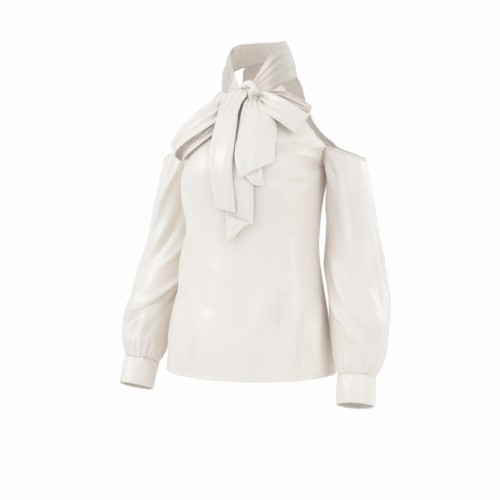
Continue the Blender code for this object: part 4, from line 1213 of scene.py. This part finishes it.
def add_stitches(name, runs, cloth, material):
    """Short raised stitches along runs of points, each with its outward directions."""
    bm = bmesh.new()
    pitch = cloth.stitch_length + cloth.stitch_gap
    for points, outward in runs:
        gaps = np.linalg.norm(np.diff(points, axis=0), axis=1)
        along = np.concatenate(((0,), np.cumsum(gaps)))
        for index in range(int(along[-1] / pitch)):
            middle = (index + 0.5) * pitch
            ends = [[np.interp(d, along, points[:, k]) for k in range(3)]
                    for d in (middle - pitch / 2, middle, middle + pitch / 2)]
            out = Vector([np.interp(middle, along, outward[:, k]) for k in range(3)]).normalized()
            run = (Vector(ends[2]) - Vector(ends[0])).normalized()
            across = run.cross(out).normalized()
            turned = Matrix((run, across, run.cross(across))).transposed().to_4x4()
            size = Matrix.Diagonal((cloth.stitch_length / 2, STITCH.half_width, STITCH.half_height, 1))
            bmesh.ops.create_icosphere(bm, subdivisions=1, radius=1.0,
                                       matrix=Matrix.Translation(ends[1]) @ turned @ size)
    bmesh.ops.recalc_face_normals(bm, faces=bm.faces)
    piece = add_piece(name, bm, material)


# Pieces


def add_piece(name, bm, material):
    """An object of the root body from a finished bmesh."""
    mesh = bpy.data.meshes.new(name)
    bm.to_mesh(mesh)
    bm.free()
    mesh.shade_smooth()
    mesh.materials.append(material)
    piece = bpy.data.objects.new(name, mesh)
    bpy.context.collection.objects.link(piece)
    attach(piece, "root")
    return piece


def add_cloth(name, surface, wall, material, closed=False):
    """A grid moved onto surface(s, t) and given its wall. Its UV map is in metres of cloth."""
    columns, rows = GRIDS[name]
    width, length, area, held, rests_on = CUTS[name]
    bm = bmesh.new()
    layer = bm.loops.layers.uv.new("Cloth")
    bmesh.ops.create_grid(bm, x_segments=columns, y_segments=rows, size=0.5, calc_uvs=True)
    place = np.array([vert.co for vert in bm.verts]) + 0.5
    for vert, point in zip(bm.verts, surface(place[:, 0], place[:, 1])):
        vert.co = point
    for face in bm.faces:
        for loop in face.loops:
            u, v = loop[layer].uv
            loop[layer].uv = (u * width, v * length)
    if closed:
        bmesh.ops.remove_doubles(bm, verts=bm.verts, dist=MERGE)
    piece = add_piece(name + "_cloth", bm, material)
    if wall:
        thickness = piece.modifiers.new("Wall", "SOLIDIFY")
        thickness.thickness = wall
        thickness.offset = 0.0
    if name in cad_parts:
        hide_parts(name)


# Materials


def add_node(tree, kind, values=None, links=None, **settings):
    """A shader node with its settings, its sockets' own values and the outputs that feed them."""
    node = tree.nodes.new("ShaderNode" + kind)
    for name, value in settings.items():
        setattr(node, name, value)
    for socket, value in (values or {}).items():
        node.inputs[socket].default_value = value
    for socket, output in (links or {}).items():
        tree.links.new(output, node.inputs[socket])
    return node


def node_group(name, inputs, outputs):
    """A new shader group with named sockets, and its two ends."""
    group = bpy.data.node_groups.new(name, "ShaderNodeTree")
    for sockets, way in ((inputs, "INPUT"), (outputs, "OUTPUT")):
        for label, kind in sockets:
            group.interface.new_socket(name=label, in_out=way, socket_type="NodeSocket" + kind)
    return group, group.nodes.new("NodeGroupInput"), group.nodes.new("NodeGroupOutput")


def weave_group():
    """Satin threads: long floats along the cloth with slubs and streaks, as a mask and a height."""
    name = "Satin threads"
    if name in bpy.data.node_groups:
        return bpy.data.node_groups[name]
    group, given, result = node_group(name, (("Cloth", "Vector"), ("Threads", "Float")),
                                      (("Mask", "Float"), ("Height", "Float")))
    scaled = add_node(group, "VectorMath", operation="SCALE",
                      links={"Vector": given.outputs["Cloth"], "Scale": given.outputs["Threads"]})
    layers = []
    for stretch, detail in ((FLOATS, 1.0), (SLUBS, 2.0), (STREAKS, 1.0)):
        way = add_node(group, "Mapping", {"Scale": stretch}, {"Vector": scaled.outputs[0]})
        noise = add_node(group, "TexNoise", {"Scale": 1.0, "Detail": detail}, {"Vector": way.outputs[0]})
        layers.append(noise.outputs["Fac"])
    floats, slubs, streaks = layers
    crossed = add_node(group, "Mix", {"Factor": 0.5}, {"A": slubs, "B": streaks})
    both = add_node(group, "Mix", {"Factor": 0.5}, {"A": floats, "B": crossed.outputs["Result"]})
    for label in ("Height", "Mask"):
        group.links.new(both.outputs["Result"], result.inputs[label])
    return group


def handling_group():
    """Faint creasing and tone of handled cloth, from the place on the garment."""
    name = "Handled cloth"
    if name in bpy.data.node_groups:
        return bpy.data.node_groups[name]
    group, given, result = node_group(name, (("Place", "Vector"), ("Size", "Float")),
                                      (("Tone", "Float"), ("Height", "Float")))
    tall = add_node(group, "Mapping", {"Scale": TALL_CRINKLES}, {"Vector": given.outputs["Place"]})
    crinkle = add_node(group, "TexNoise", {"Detail": 2.0, "Distortion": 0.6},
                       {"Vector": tall.outputs[0], "Scale": given.outputs["Size"]})
    tone = add_node(group, "TexNoise", {"Scale": TONES, "Detail": 1.0}, {"Vector": given.outputs["Place"]})
    group.links.new(tone.outputs["Fac"], result.inputs["Tone"])
    group.links.new(crinkle.outputs["Fac"], result.inputs["Height"])
    return group


def new_material(name, finish):
    """A new material with its node tree and its shader, which gets the socket values of `finish`."""
    material = bpy.data.materials.new(name)
    material.use_nodes = True
    shader = material.node_tree.nodes["Principled BSDF"]
    for socket, value in finish.items():
        shader.inputs[socket].default_value = value
    return material, material.node_tree, shader


def spread(tree, value, low, high):
    """The middle of a noise, from 0.35 to 0.65, spread between two values."""
    node = add_node(tree, "MapRange", {"From Min": 0.35, "From Max": 0.65, "To Min": low, "To Max": high},
                    {"Value": value})
    return node.outputs[0]


def with_painted_shade(tree, cloth, colour, painted_shade):
    """A colour darkened by painted shade round one place along the UV map, fading out on both sides."""
    along = add_node(tree, "SeparateXYZ", links={0: cloth})
    away = add_node(tree, "Math", {1: PAINTED_SHADE_MIDDLE}, {0: along.outputs["X"]}, operation="SUBTRACT")
    size = add_node(tree, "Math", links={0: away.outputs[0]}, operation="ABSOLUTE")
    near, far = PAINTED_SHADE_FADE
    fade = add_node(tree, "MapRange", {"From Min": near, "From Max": far, "To Min": 1.0, "To Max": 0.0},
                    {"Value": size.outputs[0]}, interpolation_type="SMOOTHSTEP")
    mix = add_node(tree, "Mix", {"B": (*painted_shade, 1.0)}, {"Factor": fade.outputs["Result"], "A": colour},
                   data_type="RGBA", blend_type="MULTIPLY")
    return mix.outputs["Result"]


def satin(name, colours, turned=0.0, crinkle_relief=0.30, painted_shade=None, duller=0.0):
    """Satin: fine floats across the UV map in metres, faint handling creases and a soft sheen."""
    if name in bpy.data.materials:
        return bpy.data.materials[name]
    material, tree, shader = new_material(name, {
        "Subsurface Weight": colours.thinness, "Subsurface Radius": (1.0, 0.92, 0.85),
        "Subsurface Scale": 0.003, "Sheen Weight": colours.sheen, "Sheen Roughness": 0.4,
        "Sheen Tint": (1.0, 0.97, 0.92, 1.0)})
    light, deep = (*colours.cloth, 1.0), (*colours.deep, 1.0)
    cloth = add_node(tree, "UVMap", uv_map="Cloth").outputs[0]
    bias = add_node(tree, "Mapping", {"Rotation": (0, 0, turned)}, {"Vector": cloth})
    weave = add_node(tree, "Group", {"Threads": THREADS}, {"Cloth": bias.outputs[0]},
                     node_tree=weave_group())
    place = add_node(tree, "TexCoord")
    handled = add_node(tree, "Group", {"Size": CRINKLES}, {"Place": place.outputs["Object"]},
                       node_tree=handling_group())
    threads = add_node(tree, "Mix", {"A": light, "B": deep},
                       {"Factor": spread(tree, weave.outputs["Mask"], 0.55, 0.0)}, data_type="RGBA")
    tone = add_node(tree, "Mix", {"B": deep},
                    {"Factor": spread(tree, handled.outputs["Tone"], 0.0, 0.12),
                     "A": threads.outputs["Result"]}, data_type="RGBA")
    colour = tone.outputs["Result"]
    # Where given, painted shade darkens the colour round one place along the band.
    if painted_shade:
        colour = with_painted_shade(tree, cloth, colour, painted_shade)
    rough = colours.roughness + duller
    creased = add_node(tree, "Bump", {"Strength": crinkle_relief, "Distance": CRINKLE_HEIGHT},
                       {"Height": handled.outputs["Height"]})
    woven = add_node(tree, "Bump", {"Strength": THREAD_RELIEF, "Distance": THREAD_HEIGHT},
                     {"Height": weave.outputs["Height"], "Normal": creased.outputs[0]})
    tree.links.new(colour, shader.inputs["Base Color"])
    tree.links.new(spread(tree, weave.outputs["Mask"], rough + 0.05, rough - 0.05),
                   shader.inputs["Roughness"])
    tree.links.new(woven.outputs[0], shader.inputs["Normal"])
    return material


def clouded(name, colour, deep, strength, grain, finish):
    """A finish with clouds of a deeper colour; `grain` and `finish` hold sockets with their values."""
    if name in bpy.data.materials:
        return bpy.data.materials[name]
    material, tree, shader = new_material(name, finish)
    place = add_node(tree, "TexCoord")
    clouds = add_node(tree, "TexNoise", grain, {"Vector": place.outputs["Object"]})
    mix = add_node(tree, "Mix", {"A": (*colour, 1.0), "B": (*deep, 1.0)},
                   {"Factor": spread(tree, clouds.outputs["Fac"], 0.0, strength)}, data_type="RGBA")
    tree.links.new(mix.outputs["Result"], shader.inputs["Base Color"])
    return material


def sewing_thread(colours):
    return clouded("Sewing thread", colours.thread, colours.deep, 0.5, {"Scale": 4200.0},
                   {"Roughness": 0.5})


def pearl(colours):
    return clouded("Cream pearl button", colours.button, colours.deep, 0.7,
                   {"Scale": 260.0, "Detail": 3.0, "Distortion": 1.5},
                   {"Roughness": 0.22, "Coat Weight": 0.5, "Coat Roughness": 0.08})


# Operators


class BLOUSE_OT_panels(Operator):
    """Front and back, from the hem to the neck band"""
    bl_idname = "blouse.panels"
    bl_label = "Front and back"

    def execute(self, context):
        cloth = context.scene.blouse_cloth
        material = satin("Ivory satin", context.scene.blouse_colours)
        for name, panel in (("front", FRONT_PANEL), ("back", BACK_PANEL)):
            def surface(s, t, panel=panel):
                return panel_point(panel, panel_height(panel, t, cloth), 2 * s - 1, cloth)
            add_cloth(name, surface, cloth.wall, material)
        return {"FINISHED"}


class BLOUSE_OT_sleeves(Operator):
    """Long full sleeves with open tops, gathered into the cuffs"""
    bl_idname = "blouse.sleeves"
    bl_label = "Sleeves"

    def execute(self, context):
        cloth = context.scene.blouse_cloth
        material = satin("Ivory satin", context.scene.blouse_colours)
        for word, side in SIDES:
            def surface(s, t, side=side):
                return sleeve_point(360 * s, t, side, cloth)
            add_cloth(f"sleeve_{word}", surface, cloth.wall, material, closed=True)
        return {"FINISHED"}


class BLOUSE_OT_cuffs(Operator):
    """Straight cuffs that overlap at the outer back, with their buttons"""
    bl_idname = "blouse.cuffs"
    bl_label = "Cuffs and buttons"

    def execute(self, context):
        cloth = context.scene.blouse_cloth
        colours = context.scene.blouse_colours
        material = satin("Ivory satin", colours)
        for word, side in SIDES:
            def surface(s, t, side=side):
                angle = (360 + CUFF.overlap) * s
                down = CUFF.height * (1 - t)
                return cuff_point(CUFF.gap + down, angle, side, cuff_relief(down, angle, cloth))
            add_cloth(f"cuff_{word}", surface, cloth.band_wall, material)
            self.add_button(f"button_{word}", side, cloth, pearl(colours))
        return {"FINISHED"}

    @staticmethod
    def add_button(name, side, cloth, material):
        """A domed shank button with a raised rim, spun round its own axis."""
        angle = 360 + CUFF.overlap / 2
        down = CUFF.gap + CUFF.height / 2
        seat = Vector(cuff_point(down, angle, side, cloth.band_wall / 2 + SEAM))
        outward = (Vector(cuff_point(down, angle, side, 1.0)) - seat).normalized()
        across = outward.orthogonal().normalized()
        radius, height = BUTTON.radius, BUTTON.thickness
        bm = bmesh.new()
        line = [bm.verts.new(seat + across * radius * out + outward * height * up)
                for out, up in BUTTON.profile]
        edges = [bm.edges.new(pair) for pair in zip(line, line[1:])]
        bmesh.ops.spin(bm, geom=line + edges, cent=seat, axis=outward, angle=2 * math.pi, steps=40,
                       use_merge=True)
        bmesh.ops.remove_doubles(bm, verts=bm.verts, dist=MERGE)
        bmesh.ops.recalc_face_normals(bm, faces=bm.faces)
        piece = add_piece(name + "_pearl", bm, material)
        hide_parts(name)


class BLOUSE_OT_bindings(Operator):
    """Rolled bias bindings round the open armholes"""
    bl_idname = "blouse.bindings"
    bl_label = "Armhole bindings"

    def execute(self, context):
        cloth = context.scene.blouse_cloth
        material = satin("Ivory satin on the bias", context.scene.blouse_colours,
                         turned=math.radians(45), crinkle_relief=0.4)
        for word, side in SIDES:
            add_cloth(f"binding_{word}", binding_surface(side, cloth), 0.0, material,
                      closed=True)
        return {"FINISHED"}


class BLOUSE_OT_neck_band(Operator):
    """The neck band: the standing collar at the back and the wraps round to the knot"""
    bl_idname = "blouse.neck_band"
    bl_label = "Neck band"

    def execute(self, context):
        cloth = context.scene.blouse_cloth
        material = satin("Ivory satin", context.scene.blouse_colours)
        # The wraps' satin carries a painted shade round the middle of the band.
        around = satin("Ivory satin of the band", context.scene.blouse_colours, crinkle_relief=0.4,
                       painted_shade=BAND_PAINTED_SHADE, duller=BAND_DULLER)
        add_cloth("collar", collar_surface, cloth.band_wall, material)
        for name, table, folds, side in (("wrap_left", LEFT_BAND, LEFT_BAND_FOLDS, 1),
                                         ("wrap_right", RIGHT_BAND, RIGHT_BAND_FOLDS, -1)):
            add_cloth(name, wrap_surface(table, folds, side, cloth), cloth.band_wall, around)
        return {"FINISHED"}


class BLOUSE_OT_bow(Operator):
    """The knot with its curl, and the two loops"""
    bl_idname = "blouse.bow"
    bl_label = "Knot and loops"

    def execute(self, context):
        cloth = context.scene.blouse_cloth
        material = satin("Ivory satin", context.scene.blouse_colours)
        add_cloth("bow_knot", knot_surface, cloth.wall, material)
        add_cloth("bow_strand", strand_surface, 0.0, material, closed=True)
        add_cloth("bow_swirl", swirl_surface, cloth.wall, material)
        add_cloth("bow_loop_left", loop_surface(LEFT_LOOP, cloth), cloth.wall, material)
        add_cloth("bow_loop_right", loop_surface(RIGHT_LOOP, cloth), cloth.wall, material)
        return {"FINISHED"}


class BLOUSE_OT_tails(Operator):
    """The hanging ends of the tie"""
    bl_idname = "blouse.tails"
    bl_label = "Hanging ends"

    def execute(self, context):
        cloth = context.scene.blouse_cloth
        material = satin("Ivory satin", context.scene.blouse_colours)
        for name, table, ripples, from_knot, tuck in TAILS:
            surface = tail_surface(table, ripples, cloth, from_knot, tuck)
            add_cloth(name, surface, cloth.wall, material)
        return {"FINISHED"}


class BLOUSE_OT_stitching(Operator):
    """Stitches along the hem, the bindings and the cuffs"""
    bl_idname = "blouse.stitching"
    bl_label = "Stitching"

    def execute(self, context):
        cloth = context.scene.blouse_cloth
        thread = sewing_thread(context.scene.blouse_colours)
        self.stitch_hem(cloth, thread)
        self.stitch_bindings(cloth, thread)
        self.stitch_cuffs(cloth, thread)
        return {"FINISHED"}

    @staticmethod
    def stitch_hem(cloth, thread):
        s = np.linspace(-0.995, 0.995, 260)
        runs = []
        for panel in (FRONT_PANEL, BACK_PANEL):
            height = HEM + cloth.hem_depth
            path = panel_point(panel, height, s, cloth)
            turn = np.radians(90) * s
            outward = stack(np.sin(turn), panel.facing * np.cos(turn), 0)
            runs.append((path + outward * cloth.wall * 0.55, outward))
        add_stitches("hem_stitches", runs, cloth, thread)

    @staticmethod
    def stitch_bindings(cloth, thread):
        runs = []
        for _, side in SIDES:
            path, beyond = binding_path(side, cloth)
            wide, deep = path_frame(path, beyond)
            outward = deep * side
            path = path + wide * (BINDING.gap + BINDING.width * 0.16) + outward * BINDING.depth * 0.42
            runs.append((path, outward))
        add_stitches("binding_stitches", runs, cloth, thread)

    @staticmethod
    def stitch_cuffs(cloth, thread):
        runs = []
        angle = np.linspace(24, 360 + CUFF.overlap - 2, 240)
        for _, side in SIDES:
            for down in (CUFF.stitched, CUFF.height - CUFF.stitched):
                relief = cuff_relief(down, angle, cloth)
                path = cuff_point(CUFF.gap + down, angle, side, relief + cloth.band_wall * 0.52)
                outward = unit(cuff_point(CUFF.gap + down, angle, side, 1.0) - path)
                runs.append((path, outward))
        add_stitches("cuff_stitches", runs, cloth, thread)


class BLOUSE_OT_stage(Operator):
    """Pale floor, white surround, soft lights and the camera"""
    bl_idname = "blouse.stage"
    bl_label = "Studio"

    def execute(self, context):
        stage = context.scene.blouse_stage
        context.scene.view_settings.view_transform = "Standard"
        self.add_floor(stage)
        self.add_surround(context.scene, stage)
        for name, power, size, place, colour in LIGHTS:
            self.add_light(name, getattr(stage, power), size, place, colour)
        self.add_camera(context.scene, stage)
        return {"FINISHED"}

    @staticmethod
    def add_floor(stage):
        """A plain pale floor, seen from above alone."""
        bm = bmesh.new()
        bmesh.ops.create_circle(bm, cap_ends=True, segments=96, radius=stage.floor_radius,
                                matrix=Matrix.Translation((0, 0, -stage.floor_depth)))
        mesh = bpy.data.meshes.new("floor")
        bm.to_mesh(mesh)
        bm.free()
        material, tree, shader = new_material("Pale floor", {"Base Color": FLOOR_COLOUR, "Roughness": 0.85})
        side = add_node(tree, "NewGeometry")
        clear = add_node(tree, "BsdfTransparent")
        choice = add_node(tree, "MixShader", links={0: side.outputs["Backfacing"], 1: shader.outputs[0],
                                                    2: clear.outputs[0]})
        tree.links.new(choice.outputs[0], tree.nodes["Material Output"].inputs["Surface"])
        mesh.materials.append(material)
        floor = bpy.data.objects.new("floor", mesh)
        bpy.context.collection.objects.link(floor)

    @staticmethod
    def add_surround(scene, stage):
        """White paper behind the figure, and a softer light from all round on the cloth."""
        world = bpy.data.worlds.new("White surround")
        world.use_nodes = True
        tree = world.node_tree
        light = tree.nodes["Background"]
        light.inputs["Color"].default_value = SKY
        light.inputs["Strength"].default_value = stage.daylight
        paper = add_node(tree, "Background", {"Color": (1.0, 1.0, 1.0, 1.0), "Strength": stage.paper})
        seen = add_node(tree, "LightPath")
        choice = add_node(tree, "MixShader", links={0: seen.outputs["Is Camera Ray"],
                                                    1: light.outputs[0], 2: paper.outputs[0]})
        tree.links.new(choice.outputs[0], tree.nodes["World Output"].inputs["Surface"])
        scene.world = world

    @staticmethod
    def add_light(name, power, size, place, colour):
        light = bpy.data.lights.new(name, "AREA")
        light.color = colour
        light.energy = power
        light.shape = "DISK"
        light.size = size
        lamp = bpy.data.objects.new(name, light)
        lamp.location = place
        aim = Vector(LIGHT_AIM) - Vector(place)
        lamp.rotation_euler = aim.to_track_quat("-Z", "Y").to_euler()
        bpy.context.collection.objects.link(lamp)

    @staticmethod
    def add_camera(scene, stage):
        camera = bpy.data.cameras.new("Camera")
        camera.lens = stage.lens
        camera.sensor_width = 36.0
        camera.shift_x, camera.shift_y = CAMERA_SHIFT
        view = bpy.data.objects.new("Camera", camera)
        turn = stage.camera_turn
        view.location = (stage.camera_distance * math.sin(turn), -stage.camera_distance * math.cos(turn),
                         stage.camera_height)
        view.rotation_euler = (math.pi / 2, 0, turn)
        bpy.context.collection.objects.link(view)
        scene.camera = view


class BLOUSE_PT_panel(Panel):
    """Settings and pieces of the blouse"""
    bl_idname = "BLOUSE_PT_panel"
    bl_label = "Blouse"
    bl_space_type = "VIEW_3D"
    bl_region_type = "UI"
    bl_category = "Blouse"

    def draw(self, context):
        layout = self.layout
        for group in (context.scene.blouse_cloth, context.scene.blouse_colours,
                      context.scene.blouse_stage):
            box = layout.box()
            for name in group.__annotations__:
                box.prop(group, name)
        for operator in OPERATORS:
            layout.operator(operator.bl_idname)


OPERATORS = (BLOUSE_OT_panels, BLOUSE_OT_sleeves, BLOUSE_OT_cuffs, BLOUSE_OT_bindings,
             BLOUSE_OT_neck_band, BLOUSE_OT_bow, BLOUSE_OT_tails, BLOUSE_OT_stitching, BLOUSE_OT_stage)
CLASSES = (BLOUSE_PG_cloth, BLOUSE_PG_colours, BLOUSE_PG_stage, *OPERATORS, BLOUSE_PT_panel)


def register():
    for item in CLASSES:
        bpy.utils.register_class(item)
    bpy.types.Scene.blouse_cloth = PointerProperty(type=BLOUSE_PG_cloth)
    bpy.types.Scene.blouse_colours = PointerProperty(type=BLOUSE_PG_colours)
    bpy.types.Scene.blouse_stage = PointerProperty(type=BLOUSE_PG_stage)


def unregister():
    del bpy.types.Scene.blouse_stage
    del bpy.types.Scene.blouse_colours
    del bpy.types.Scene.blouse_cloth
    for item in reversed(CLASSES):
        bpy.utils.unregister_class(item)


def main():
    register()
    bpy.ops.blouse.stage()
    bpy.ops.blouse.panels()
    bpy.ops.blouse.sleeves()
    bpy.ops.blouse.cuffs()
    bpy.ops.blouse.bindings()
    bpy.ops.blouse.neck_band()
    bpy.ops.blouse.bow()
    bpy.ops.blouse.tails()
    bpy.ops.blouse.stitching()


if __name__ == "__main__":
    main()
